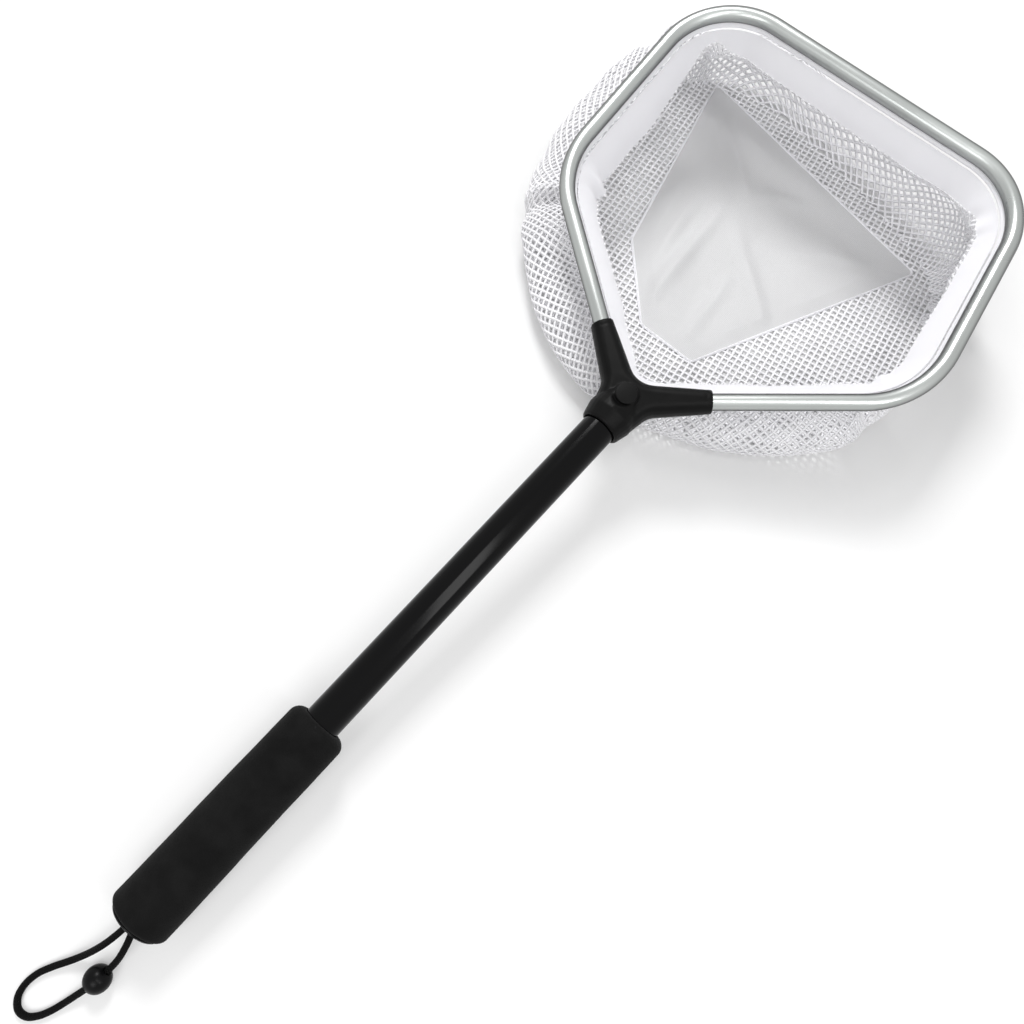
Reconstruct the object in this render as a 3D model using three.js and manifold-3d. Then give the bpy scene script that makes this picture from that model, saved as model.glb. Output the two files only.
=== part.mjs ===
// Hand-held bait net lying on a table: a short aluminium handle with a foam grip, a moulded yoke,
// a five-sided hoop of slotted aluminium tube and a soft bag with a fine flat bottom.
// Millimetres, +Z up. The origin is on the table, under the bag, straight ahead of the handle.
import * as THREE from 'three';
import { mergeVertices } from 'three/addons/utils/BufferGeometryUtils.js';
import Module from 'manifold-3d';

const wasm = await Module();
wasm.setup();

// Clearances
const SEAT_GAP = 0.3; // between pieces that touch
const WELD = 1e-4; // vertices closer than this are one

// Handle tube, foam grip and how they lie
const TUBE_D = 19.05;
const TUBE_WALL = 1.2;
const HANDLE_REACH = 340; // from the yoke's crossing to the grip's outer end
const HANDLE_TILT = 5; // degrees, rising towards the hoop
const CROSSING_Y = -150; // the crossing's place along the handle, from the origin
const GRIP_D = 31.75;
const GRIP_LENGTH = 115;
const GRIP_TOP_ROUND = 5.5;
const GRIP_END_ROUND = 2.5;

// End cap with its cord hole
const CAP_FLANGE_D = 26.8;
const CAP_RIM = 1.2;
const CAP_DOME = 2.0;
const CAP_PLUG_LENGTH = 13;
const CORD_HOLE_D = 7.4;

// Wrist cord, its bead and its knot
const CORD_D = 3.2;
const CORD_SIDES = 8;
const CORD_STEPS = 44;
const BEAD_D = 12.5;
const BEAD_BORE_D = 4.6;
const BEAD_AT = [4.1, -519.1, 6.4];
const BEAD_ALONG = [0.15, 0.95, 0.27];
const KNOT_D = 12;

// The cord's route: out of the cap, round the loop, back through the bead and into the cap
const CORD_ROUTE = [
  [-1.75, -476.6, 16.66],
  [-1.75, -484.7, 15.96],
  [-1.75, -492.6, 15.25],
  [-2.2, -498.0, 14.1],
  [-4.0, -506.6, 10.8],
  [-7.0, -515.0, 6.6],
  [-11.2, -523.5, 3.2],
  [-15.3, -530.6, 1.95],
  [-18.2, -537.0, 1.7],
  [-18.9, -543.0, 1.65],
  [-17.2, -548.2, 1.65],
  [-13.0, -551.2, 1.65],
  [-8.2, -550.6, 1.65],
  [-4.6, -547.2, 1.65],
  [-2.0, -542.4, 1.7],
  [-0.1, -536.8, 2.2],
  [1.5, -531.2, 3.2],
  [3.12, -525.28, 4.64],
  [4.1, -519.1, 6.4],
  [5.08, -512.92, 8.16],
  [5.3, -506.4, 10.7],
  [4.0, -499.4, 13.5],
  [1.75, -492.6, 15.25],
  [1.75, -484.7, 15.96],
  [1.75, -476.6, 16.66],
];

// Yoke
const HEAD_PITCH = 6; // degrees, the hoop's plane rises from the handle's line
const HEAD_YAW = 3; // degrees, the hoop leans to the left of the handle's line
const ARM_ANGLE = 52.2; // each arm from the head's own axis
const ARM_LENGTH = 46.5;
const ARM_END_D = 12.6;
const ARM_BASE_D = 19.4; // as if carried on to the crossing
const ARM_LIP_GROOVE_AT = 3.6; // from the arm's end
const ARM_LIP_GROOVE = 0.7;
const ARM_SOCKET_START = 14; // from the crossing
const MOULD_ROUND = 5.5; // rounding in from the outline
const MOULD_FLAT = 1.0; // straight band at the parting line
const CROTCH_ROUND = 13;
const SIDE_ROUND = 15;
const COLLAR_MOUTH_Y = -20.5;
const COLLAR_WALL = 1.9; // at the mouth
const COLLAR_WIDE_Y = -12;
const COLLAR_WIDE_WALL = 3.9;
const COLLAR_CLOSE_Y = 8;
const COLLAR_CHAMFER = 0.8;
const TUBE_END_Y = -3.5; // where the handle tube stops inside the collar
const BODY_SPREAD = 3; // how much wider the body is at the crossing than the collar
const BODY_SWELL = 1.5; // depth of the body at the crossing, times the arm end's depth

// Boss cap, screw and rivets
const BOSS_D = 12.5;
const BOSS_SEAT_Z = 11.0;
const BOSS_CAP_HEIGHT = 2.6;
const BOSS_DISH = 0.9; // flat floor round the cap
const BOSS_DISH_RIM = 3.4;
const BOSS_STEM_D = 3.6;
const BOSS_STEM_LENGTH = 4.5;
const SCREW_Y = -11.5;
const SCREW_D = 3;
const SCREW_HEAD_D = 6;
const SCREW_HEAD_HEIGHT = 1.5;
const SCREW_FLOOR = 2.0; // plastic left between the screw head and the handle tube
const SCREW_REACH = 2.2; // past the tube's inner wall
const RIVET_AT = 32; // along each arm from the crossing
const RIVET_D = 2.4;
const RIVET_HEAD_D = 5.2;
const RIVET_HEAD_HEIGHT = 1.0;
const RIVET_SINK = 0.5;
const RIVET_REACH = 0.8; // past the hoop tube's inner wall

// Hoop: slotted tube, bent at four corners; corner places are [right, forward] in the head's frame
const HOOP_D = 9.2;
const HOOP_WALL = 1.2;
const SLOT_WIDTH = 2.4;
const SLOT_DROOP = 35; // degrees below straight inwards
const LEFT_LOWER_RUN = 145.4;
const RIGHT_LOWER_RUN = 157.1;
const FAR_LEFT = [-114.5, 237.5];
const FAR_RIGHT = [105, 233];
const SHOULDER_ROUND = 54;
const FAR_ROUND = 44.5;
const BEND_STEPS = 8;
const SECTION_STEPS = 14;

// Welted hem that runs in the slot
const WELT_D = 5.2;
const WELT_WEB = 1.2;
const WELT_REACH = 6.8; // from the tube's centre to the web's edge

// Fabric band, net wall and bottom panel
const BAND_DROP = 20;
const BAND_LEAN = 12;
const BAND_THICKNESS = 0.8;
const BAND_CROTCH_ROUND = 24;
const BAND_ARM_RELIEF = 3.9;
const WELT_TO_BAND = 0.55;
const NET_THICKNESS = 1.0;
const BAG_WIDEST = [
  [-166, 34], [-160, -18], [-138, -70], [-94, -116], [-36, -140], [14, -136], [60, -112],
  [98, -78], [113, -30], [116, 35], [90, 96], [10, 126], [-82, 142], [-140, 128], [-162, 84],
];
const BAG_WIDEST_SHARE = 0.42; // height of the widest line, as a share of the wall's top
const BAG_SHOULDER_OUT = 0.45; // how far out the wall's shoulder is, as a share of its spread
const BAG_SHOULDER_SHARE = 0.93; // the shoulder's height, as a share of the wall's top
const BAG_SIDE_SHARE = 0.8; // how high the side stands upright, as a share of the wall's top
const BAG_TUCK = 16; // from the widest line in to where the netting first lies on the table
const FAN_CENTRE = [-20, 0]; // the wall's folds fan out from here
const PANEL_CORNERS = [[-119, 115], [-79, -31], [-34, -77], [5, -76], [72, 81]];
const PANEL_ROUND = 8;
const PANEL_THICKNESS = 0.7;
const LOOP_STEPS = 64;
const WALL_ROWS = 4;
const TUCK_ROWS = 2;
const FLOOR_ROWS = 2;

const TURN_STEPS = 28;
const SMALL_TURN_STEPS = 16;

const radians = THREE.MathUtils.degToRad;
const tubeR = TUBE_D / 2;
const tubeInnerR = tubeR - TUBE_WALL;
const gripR = GRIP_D / 2;
const hoopR = HOOP_D / 2;
const cordR = CORD_D / 2;

// Welds a geometry's vertices and drops faces that have no area
function clean(geometry) {
  const bare = geometry.clone();
  bare.deleteAttribute('normal');
  bare.deleteAttribute('uv');
  const welded = mergeVertices(bare, WELD);
  const faces = [];
  for (let i = 0; i < welded.index.count; i += 3) {
    const [a, b, c] = [0, 1, 2].map((k) => welded.index.getX(i + k));
    if (a !== b && b !== c && c !== a) faces.push(a, b, c);
  }
  welded.setIndex(faces);
  if (signedVolume(welded) < 0) {
    for (let i = 0; i < faces.length; i += 3) [faces[i], faces[i + 1]] = [faces[i + 1], faces[i]];
    welded.setIndex(faces);
  }
  return welded;
}

function signedVolume(geometry) {
  const [a, b, c] = [new THREE.Vector3(), new THREE.Vector3(), new THREE.Vector3()];
  const { position } = geometry.attributes;
  let volume = 0;
  for (let i = 0; i < geometry.index.count; i += 3) {
    a.fromBufferAttribute(position, geometry.index.getX(i));
    b.fromBufferAttribute(position, geometry.index.getX(i + 1));
    c.fromBufferAttribute(position, geometry.index.getX(i + 2));
    volume += a.dot(b.cross(c)) / 6;
  }
  return volume;
}

function toSolid(geometry) {
  const mesh = clean(geometry);
  return new wasm.Manifold(new wasm.Mesh({
    numProp: 3,
    vertProperties: new Float32Array(mesh.attributes.position.array),
    triVerts: new Uint32Array(mesh.index.array),
  }));
}

function toGeometry(solid) {
  const mesh = solid.getMesh();
  const geometry = new THREE.BufferGeometry();
  geometry.setAttribute('position', new THREE.BufferAttribute(mesh.vertProperties, 3));
  geometry.setIndex(new THREE.BufferAttribute(mesh.triVerts, 1));
  return geometry;
}

function cutBy(body, ...cutters) {
  return cutters.reduce((left, cutter) => left.subtract(toSolid(cutter)), body);
}

// Turns a closed profile of [radius, y] points about the Y axis
function revolve(profile, steps = TURN_STEPS) {
  const points = profile.map(([r, y]) => new THREE.Vector2(r, y));
  if (profile[0][0] > 0) points.push(points[0].clone());
  return new THREE.LatheGeometry(points, steps);
}

// A plain rod or disc along Y, from one height to another
function rod(radius, low, high, steps = TURN_STEPS) {
  return new THREE.CylinderGeometry(radius, radius, high - low, steps).translate(0, (low + high) / 2, 0);
}

// Points of a quarter turn that rounds an edge, from one angle to another
function roundEdge(centreR, centreY, radius, from, to, steps = 4) {
  return Array.from({ length: steps + 1 }, (_, i) => {
    const angle = radians(from + ((to - from) * i) / steps);
    return [centreR + radius * Math.cos(angle), centreY + radius * Math.sin(angle)];
  });
}

// Where each corner of an outline starts to turn, ends turning, and the centre it turns about
function cornerArc(before, corner, after, radius) {
  const back = before.clone().sub(corner);
  const on = after.clone().sub(corner);
  const half = back.angleTo(on) / 2;
  const room = 0.48 * Math.min(back.length(), on.length());
  const run = Math.min(radius / Math.tan(half), room);
  const turn = run * Math.tan(half);
  const start = corner.clone().addScaledVector(back.clone().normalize(), run);
  const end = corner.clone().addScaledVector(on.clone().normalize(), run);
  const middle = back.normalize().add(on.normalize()).normalize();
  return { start, end, centre: corner.clone().addScaledVector(middle, turn / Math.sin(half)) };
}

// A closed outline with rounded corners, as a shape made of lines and arcs
function roundedShape(corners, radii) {
  const shape = new THREE.Shape();
  const last = corners.length;
  corners.forEach((corner, i) => {
    const { start, end, centre } = cornerArc(corners[(i + last - 1) % last], corner,
      corners[(i + 1) % last], radii[i]);
    if (i === 0) shape.moveTo(start.x, start.y);
    else shape.lineTo(start.x, start.y);
    if (radii[i] === 0) return;
    const from = Math.atan2(start.y - centre.y, start.x - centre.x);
    const to = Math.atan2(end.y - centre.y, end.x - centre.x);
    const clockwise = THREE.MathUtils.euclideanModulo(to - from, 2 * Math.PI) > Math.PI;
    shape.absarc(centre.x, centre.y, start.distanceTo(centre), from, to, clockwise);
  });
  shape.closePath();
  return shape;
}

// A flat rod path: straight runs joined by arcs, with stations only where the bend needs them
class BentPath extends THREE.Curve {
  constructor(corners, radii, bendSteps) {
    super();
    this.stations = [corners[0]];
    for (let i = 1; i < corners.length - 1; i += 1) {
      const { start, end, centre } = cornerArc(corners[i - 1], corners[i], corners[i + 1], radii[i - 1]);
      const radius = start.distanceTo(centre);
      const from = Math.atan2(start.y - centre.y, start.x - centre.x);
      const sweep = Math.atan2(end.y - centre.y, end.x - centre.x) - from;
      const turn = sweep - 2 * Math.PI * Math.round(sweep / (2 * Math.PI));
      for (let k = 0; k <= bendSteps; k += 1) {
        const angle = from + (turn * k) / bendSteps;
        this.stations.push(new THREE.Vector2(centre.x + radius * Math.cos(angle),
          centre.y + radius * Math.sin(angle)));
      }
    }
    this.stations.push(corners[corners.length - 1]);
  }

  get steps() { return this.stations.length - 1; }

  getPointAt(u, target = new THREE.Vector3()) {
    const at = this.stations[Math.round(u * this.steps)];
    return target.set(at.x, at.y, 0);
  }

  getTangentAt(u, target = new THREE.Vector3()) {
    const i = Math.round(u * this.steps);
    const ahead = this.stations[Math.min(i + 1, this.steps)];
    const behind = this.stations[Math.max(i - 1, 0)];
    return target.set(ahead.x - behind.x, ahead.y - behind.y, 0).normalize();
  }
}

function sweep(section, path, steps) {
  const shape = new THREE.Shape(section.map(([x, y]) => new THREE.Vector2(x, y)));
  return new THREE.ExtrudeGeometry(shape, { extrudePath: path, steps, bevelEnabled: false });
}

// A closed skin over rings of points: the rings follow each other round and the last meets the first
function ringSkin(rings) {
  const count = rings[0].length;
  const position = rings.flatMap((ring) => ring.flatMap((p) => [p.x, p.y, p.z]));
  const faces = [];
  rings.forEach((_, row) => {
    const next = (row + 1) % rings.length;
    for (let i = 0; i < count; i += 1) {
      const j = (i + 1) % count;
      const [a, b, c, d] = [row * count + i, row * count + j, next * count + j, next * count + i];
      faces.push(a, b, c, a, c, d);
    }
  });
  const geometry = new THREE.BufferGeometry();
  geometry.setAttribute('position', new THREE.Float32BufferAttribute(position, 3));
  geometry.setIndex(faces);
  return clean(geometry);
}

// Gives a sheet of rows of points its thickness, half to each side, and closes it
function thickSkin(rows, thickness) {
  const count = rows[0].length;
  const side = (sign) => rows.map((row, v) => row.map((p, i) => {
    const along = row[(i + 1) % count].clone().sub(row[(i + count - 1) % count]);
    const down = rows[Math.min(v + 1, rows.length - 1)][i].clone().sub(rows[Math.max(v - 1, 0)][i]);
    return p.clone().addScaledVector(along.cross(down).normalize(), (sign * thickness) / 2);
  }));
  return ringSkin([...side(1), ...side(-1).reverse()]);
}

// Frames: the handle's, then the head's within it
const crossingZ = (HANDLE_REACH - GRIP_END_ROUND) * Math.sin(radians(HANDLE_TILT))
  + (gripR - GRIP_END_ROUND) * Math.cos(radians(HANDLE_TILT)) + GRIP_END_ROUND;
const handleFrame = new THREE.Matrix4().makeRotationX(radians(HANDLE_TILT))
  .setPosition(0, CROSSING_Y, crossingZ);
const headTurn = new THREE.Matrix4().makeRotationX(radians(HEAD_PITCH))
  .multiply(new THREE.Matrix4().makeRotationZ(radians(HEAD_YAW)));
const headFrame = handleFrame.clone().multiply(headTurn);
const armSides = { left: -1, right: 1 };
const armDirection = (side) => new THREE.Vector2(side * Math.sin(radians(ARM_ANGLE)),
  Math.cos(radians(ARM_ANGLE)));

function foamGrip() {
  const bore = tubeR + SEAT_GAP;
  const low = -HANDLE_REACH;
  const high = low + GRIP_LENGTH;
  return revolve([
    [bore, low],
    ...roundEdge(gripR - GRIP_END_ROUND, low + GRIP_END_ROUND, GRIP_END_ROUND, -90, 0),
    ...roundEdge(gripR - GRIP_TOP_ROUND, high - GRIP_TOP_ROUND, GRIP_TOP_ROUND, 0, 90),
    [bore, high],
  ]);
}

function handleTube() {
  const low = -HANDLE_REACH;
  const tube = revolve([[tubeInnerR, low], [tubeR, low], [tubeR, TUBE_END_Y], [tubeInnerR, TUBE_END_Y]]);
  return toGeometry(cutBy(toSolid(tube), screwHole(SCREW_D / 2 + SEAT_GAP, tubeR + 1)));
}

function endCap() {
  const hole = CORD_HOLE_D / 2;
  const plug = tubeInnerR - SEAT_GAP;
  const seat = -HANDLE_REACH - SEAT_GAP;
  const rim = CAP_FLANGE_D / 2;
  const dome = Array.from({ length: 6 }, (_, i) => {
    const r = rim - ((rim - hole - 0.6) * i) / 5;
    return [r, seat - CAP_RIM - CAP_DOME * (1 - (r / rim) ** 2)];
  });
  const deepest = dome[dome.length - 1][1];
  return revolve([
    [hole, seat + CAP_PLUG_LENGTH],
    [plug - 1, seat + CAP_PLUG_LENGTH],
    [plug, seat + CAP_PLUG_LENGTH - 2],
    [plug, seat],
    [rim, seat],
    ...dome,
    [hole, deepest + 0.6],
  ]);
}

function cordKnot() {
  const low = -HANDLE_REACH - SEAT_GAP + CAP_PLUG_LENGTH + SEAT_GAP;
  return new THREE.SphereGeometry(KNOT_D / 2, 14, 10).translate(0, low + KNOT_D / 2, 0);
}

function wristCord() {
  const points = CORD_ROUTE.map((p) => new THREE.Vector3(...p));
  const route = new THREE.CatmullRomCurve3(points, false, 'centripetal');
  const ring = Array.from({ length: CORD_SIDES }, (_, i) => {
    const angle = (2 * Math.PI * (i + 0.5)) / CORD_SIDES;
    return [cordR * Math.cos(angle), cordR * Math.sin(angle)];
  });
  return sweep(ring, route, CORD_STEPS);
}

function cordBead() {
  const bore = BEAD_BORE_D / 2;
  const r = BEAD_D / 2;
  const lift = THREE.MathUtils.radToDeg(Math.acos((bore + 0.5) / r));
  return revolve([
    [bore, -r * Math.sin(radians(lift)) + 0.4],
    ...roundEdge(0, 0, r, -lift, lift, 10),
    [bore, r * Math.sin(radians(lift)) - 0.4],
  ], 20);
}

// A tapered leg of the yoke's outline: its two side lines and its end, drawn in by an inset
function leg(direction, baseD, endD, length, inset) {
  const across = new THREE.Vector2(-direction.y, direction.x);
  const edge = (sign) => {
    const base = across.clone().multiplyScalar(sign * (baseD / 2 - inset));
    const end = direction.clone().multiplyScalar(length)
      .addScaledVector(across, sign * (endD / 2 - inset));
    return { base, end };
  };
  return { left: edge(1), right: edge(-1) };
}

function meet(first, second) {
  const [p, q] = [first.base, second.base];
  const d = first.end.clone().sub(p);
  const e = second.end.clone().sub(q);
  const t = q.clone().sub(p).cross(e) / d.cross(e);
  return p.clone().addScaledVector(d, t);
}

// The moulding's Y body: its outline rounded over to both faces, and deeper towards the collar
function yokeBody() {
  const over = ARM_LENGTH + MOULD_ROUND;
  const endAt = (base, end) => base + ((end - base) * over) / ARM_LENGTH;
  const arm = (side) => leg(armDirection(side), ARM_BASE_D, endAt(ARM_BASE_D, ARM_END_D), over,
    MOULD_ROUND);
  const [left, right] = [arm(armSides.left), arm(armSides.right)];
  const collarD = 2 * (tubeR + SEAT_GAP + COLLAR_WIDE_WALL);
  const stub = leg(new THREE.Vector2(0, -1), collarD + BODY_SPREAD, collarD,
    -COLLAR_WIDE_Y - MOULD_ROUND, MOULD_ROUND);
  const corners = [
    right.right.end, right.left.end, meet(right.left, left.right), left.right.end, left.left.end,
    meet(left.left, stub.right), stub.right.end, stub.left.end, meet(stub.left, right.right),
  ];
  const concave = { 2: CROTCH_ROUND, 5: SIDE_ROUND, 8: SIDE_ROUND };
  const radii = corners.map((_, i) => (concave[i] ?? 0) + (concave[i] ? MOULD_ROUND : 0));
  const depth = ARM_END_D - MOULD_FLAT;
  const body = new THREE.ExtrudeGeometry(roundedShape(corners, radii), {
    depth: MOULD_FLAT, bevelThickness: depth / 2, bevelSize: MOULD_ROUND, bevelSegments: 4,
    curveSegments: 5,
  }).translate(0, 0, -MOULD_FLAT / 2);
  const { position } = body.attributes;
  for (let i = 0; i < position.count; i += 1) {
    const out = Math.hypot(position.getX(i), position.getY(i)) / ARM_LENGTH;
    const swell = 1 + (BODY_SWELL - 1) * (1 - Math.min(out, 1)) ** 1.2;
    position.setZ(i, position.getZ(i) * swell);
  }
  return body;
}

// The round collar that takes the handle tube, closing over to a dome inside the body
function yokeCollar() {
  const mouth = tubeR + SEAT_GAP + COLLAR_WALL;
  const wide = tubeR + SEAT_GAP + COLLAR_WIDE_WALL;
  const dome = Array.from({ length: 7 }, (_, i) => {
    const angle = (Math.PI / 2) * (i / 6);
    return [wide * Math.cos(angle), COLLAR_WIDE_Y + (COLLAR_CLOSE_Y - COLLAR_WIDE_Y) * Math.sin(angle)];
  });
  dome[dome.length - 1][0] = 0;
  return revolve([
    [0, COLLAR_MOUTH_Y],
    [mouth - COLLAR_CHAMFER, COLLAR_MOUTH_Y],
    [mouth, COLLAR_MOUTH_Y + COLLAR_CHAMFER],
    ...dome,
  ]);
}

function alongArm(geometry, side) {
  const turn = -side * radians(ARM_ANGLE);
  return geometry.applyMatrix4(headTurn.clone().multiply(new THREE.Matrix4().makeRotationZ(turn)));
}

function screwHole(radius, depth) {
  return rod(radius, -depth - COLLAR_WIDE_WALL, 0, SMALL_TURN_STEPS).rotateX(Math.PI / 2)
    .translate(0, SCREW_Y, 0);
}

const armDepthAt = (along) => {
  const swell = 1 + (BODY_SWELL - 1) * (1 - along / ARM_LENGTH) ** 1.2;
  return (ARM_END_D / 2) * swell;
};
const rivetSeat = armDepthAt(RIVET_AT) - RIVET_SINK;
const screwSeat = tubeR + SEAT_GAP + SCREW_FLOOR;

function yoke() {
  let body = toSolid(yokeBody().applyMatrix4(headTurn)).add(toSolid(yokeCollar()));
  const boss = rod(BOSS_D / 2 + 0.4, 0, BOSS_SEAT_Z).rotateX(Math.PI / 2);
  body = body.add(toSolid(boss));
  const grooveR = ARM_END_D / 2 - 0.1;
  for (const side of Object.values(armSides)) {
    const trim = new THREE.BoxGeometry(4 * ARM_END_D, 4 * MOULD_ROUND, 4 * ARM_END_D)
      .translate(0, ARM_LENGTH + 2 * MOULD_ROUND, 0);
    const groove = revolve([
      [grooveR - ARM_LIP_GROOVE, ARM_LENGTH - ARM_LIP_GROOVE_AT],
      [ARM_END_D, ARM_LENGTH - ARM_LIP_GROOVE_AT],
      [ARM_END_D, ARM_LENGTH - ARM_LIP_GROOVE_AT + ARM_LIP_GROOVE],
      [grooveR - ARM_LIP_GROOVE, ARM_LENGTH - ARM_LIP_GROOVE_AT + ARM_LIP_GROOVE],
    ]);
    const socket = rod(hoopR + SEAT_GAP, ARM_SOCKET_START, ARM_LENGTH + 1);
    const rivet = rod(RIVET_D / 2 + SEAT_GAP, -armDepthAt(0), 0, SMALL_TURN_STEPS)
      .rotateX(Math.PI / 2).translate(0, RIVET_AT, 0);
    const rivetFace = rod(RIVET_HEAD_D / 2 + SEAT_GAP, -armDepthAt(0) - 2, -rivetSeat, SMALL_TURN_STEPS)
      .rotateX(Math.PI / 2).translate(0, RIVET_AT, 0);
    body = cutBy(body, ...[trim, groove, socket, rivet, rivetFace].map((g) => alongArm(g, side)));
  }
  const tubeBore = rod(tubeR + SEAT_GAP, COLLAR_MOUTH_Y - 1, TUBE_END_Y + SEAT_GAP);
  const headRecess = rod(SCREW_HEAD_D / 2 + SEAT_GAP, -screwSeat - 2 * COLLAR_WIDE_WALL, -screwSeat,
    SMALL_TURN_STEPS).rotateX(Math.PI / 2).translate(0, SCREW_Y, 0);
  const rim = BOSS_D / 2 + BOSS_DISH_RIM;
  const dish = revolve([
    [0, BOSS_SEAT_Z],
    [BOSS_D / 2 + BOSS_DISH, BOSS_SEAT_Z],
    [rim, BOSS_SEAT_Z + BOSS_CAP_HEIGHT],
    [rim, 2 * BOSS_SEAT_Z],
    [0, 2 * BOSS_SEAT_Z],
  ]).rotateX(Math.PI / 2);
  const bossHole = rod(BOSS_STEM_D / 2 + SEAT_GAP, BOSS_SEAT_Z - BOSS_STEM_LENGTH - SEAT_GAP,
    BOSS_SEAT_Z + 1, SMALL_TURN_STEPS).rotateX(Math.PI / 2);
  return toGeometry(cutBy(body, tubeBore, headRecess, dish, bossHole,
    screwHole(SCREW_D / 2 + SEAT_GAP, tubeR + 1)));
}

function bossCap() {
  const r = BOSS_D / 2;
  const low = BOSS_SEAT_Z + SEAT_GAP;
  const top = low + BOSS_CAP_HEIGHT;
  return revolve([
    [0, BOSS_SEAT_Z - BOSS_STEM_LENGTH],
    [BOSS_STEM_D / 2, BOSS_SEAT_Z - BOSS_STEM_LENGTH],
    [BOSS_STEM_D / 2, low],
    [r, low],
    [r, top - 0.7],
    [r - 0.3, top - 0.3],
    [r - 0.9, top],
    [0, top + 0.2],
  ], 28).rotateX(Math.PI / 2);
}

// A headed fastener that points up: its head's underside is at seat and its shank ends at tip
function fastener(seat, tip, shankD, headD, headHeight) {
  const headR = headD / 2;
  return revolve([
    [0, -seat - headHeight],
    [headR * 0.6, -seat - headHeight * 0.92],
    [headR * 0.9, -seat - headHeight * 0.55],
    [headR, -seat],
    [shankD / 2, -seat],
    [shankD / 2, -tip - shankD / 4],
    [shankD / 4, -tip],
    [0, -tip],
  ], SMALL_TURN_STEPS).rotateX(Math.PI / 2);
}

function handleScrew() {
  return fastener(screwSeat + SEAT_GAP, tubeInnerR - SCREW_REACH, SCREW_D, SCREW_HEAD_D,
    SCREW_HEAD_HEIGHT).translate(0, SCREW_Y, 0);
}

function hoopRivet(side) {
  const tip = hoopR - HOOP_WALL - RIVET_REACH;
  const rivet = fastener(rivetSeat + SEAT_GAP, tip, RIVET_D, RIVET_HEAD_D, RIVET_HEAD_HEIGHT);
  return alongArm(rivet.translate(0, RIVET_AT, 0), side);
}

// The hoop's corners in the head's frame, from the right shoulder round to the left one
const hoopCorners = [
  armDirection(armSides.right).multiplyScalar(RIGHT_LOWER_RUN),
  new THREE.Vector2(...FAR_RIGHT),
  new THREE.Vector2(...FAR_LEFT),
  armDirection(armSides.left).multiplyScalar(LEFT_LOWER_RUN),
];
const hoopRadii = [SHOULDER_ROUND, FAR_ROUND, FAR_ROUND, SHOULDER_ROUND];

function hoopPath(startAlongArm) {
  const start = armDirection(armSides.right).multiplyScalar(startAlongArm);
  const end = armDirection(armSides.left).multiplyScalar(startAlongArm);
  return new BentPath([start, ...hoopCorners, end], hoopRadii, BEND_STEPS);
}

// In these sections the first number runs down and the second towards the hoop's middle
function slotPoint(along, across) {
  const droop = radians(SLOT_DROOP);
  return [along * Math.sin(droop) + across * Math.cos(droop),
    along * Math.cos(droop) - across * Math.sin(droop)];
}

function hoop() {
  const arc = (r, reverse) => {
    const half = Math.asin(SLOT_WIDTH / 2 / r);
    const points = Array.from({ length: SECTION_STEPS + 1 }, (_, i) => {
      const angle = half + ((2 * Math.PI - 2 * half) * i) / SECTION_STEPS;
      return slotPoint(r * Math.cos(angle), r * Math.sin(angle));
    });
    return reverse ? points.reverse() : points;
  };
  const path = hoopPath(ARM_SOCKET_START + SEAT_GAP);
  const tube = toSolid(sweep([...arc(hoopR, false), ...arc(hoopR - HOOP_WALL, true)], path, path.steps));
  const holes = Object.values(armSides).map((side) => rod(RIVET_D / 2 + SEAT_GAP, -HOOP_D, 0,
    SMALL_TURN_STEPS).rotateX(Math.PI / 2).translate(0, RIVET_AT, 0)
    .rotateZ(-side * radians(ARM_ANGLE)));
  return toGeometry(cutBy(tube, ...holes)).applyMatrix4(headTurn);
}

function weltedHem() {
  const half = Math.asin(WELT_WEB / WELT_D);
  const bead = Array.from({ length: 11 }, (_, i) => {
    const angle = half + ((2 * Math.PI - 2 * half) * i) / 10;
    return slotPoint((WELT_D / 2) * Math.cos(angle), (WELT_D / 2) * Math.sin(angle));
  });
  const path = hoopPath(ARM_LENGTH + SEAT_GAP);
  const web = [slotPoint(WELT_REACH, -WELT_WEB / 2), slotPoint(WELT_REACH, WELT_WEB / 2)];
  return sweep([...bead, ...web], path, path.steps).applyMatrix4(headTurn);
}

// Evenly spaced points round the hoop, with the crossing's corner rounded, and how far each lies
// along its arm
function hoopLoop() {
  const corners = [new THREE.Vector2(0, 0), ...hoopCorners];
  const shape = roundedShape(corners, [BAND_CROTCH_ROUND, ...hoopRadii]);
  const points = shape.getSpacedPoints(LOOP_STEPS).slice(0, LOOP_STEPS);
  return points.map((p, i) => {
    const ahead = points[(i + 1) % LOOP_STEPS];
    const behind = points[(i + LOOP_STEPS - 1) % LOOP_STEPS];
    const along = ahead.clone().sub(behind).normalize();
    return { at: p, inward: new THREE.Vector2(-along.y, along.x), reach: p.length() };
  });
}

// One ring of the fabric band: inwards of the hoop's centre line and down from its plane
function bandRing(loop, share, extra = 0) {
  const droop = radians(SLOT_DROOP);
  const fromTube = WELT_REACH + WELT_TO_BAND + BAND_THICKNESS / 2;
  return loop.map(({ at, inward, reach }) => {
    const relief = BAND_ARM_RELIEF * Math.max(0, 1 - reach / ARM_LENGTH);
    const lean = BAND_LEAN * (share + 0.12 * Math.sin(Math.PI * share)) + extra * 0.5;
    const inset = fromTube * Math.cos(droop) + relief + lean;
    const drop = fromTube * Math.sin(droop) + BAND_DROP * share + extra;
    const p = at.clone().addScaledVector(inward, inset);
    return new THREE.Vector3(p.x, p.y, -drop).applyMatrix4(headFrame);
  });
}

function netBand(loop) {
  return thickSkin([0, 0.35, 0.7, 1].map((share) => bandRing(loop, share)), BAND_THICKNESS);
}

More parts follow.
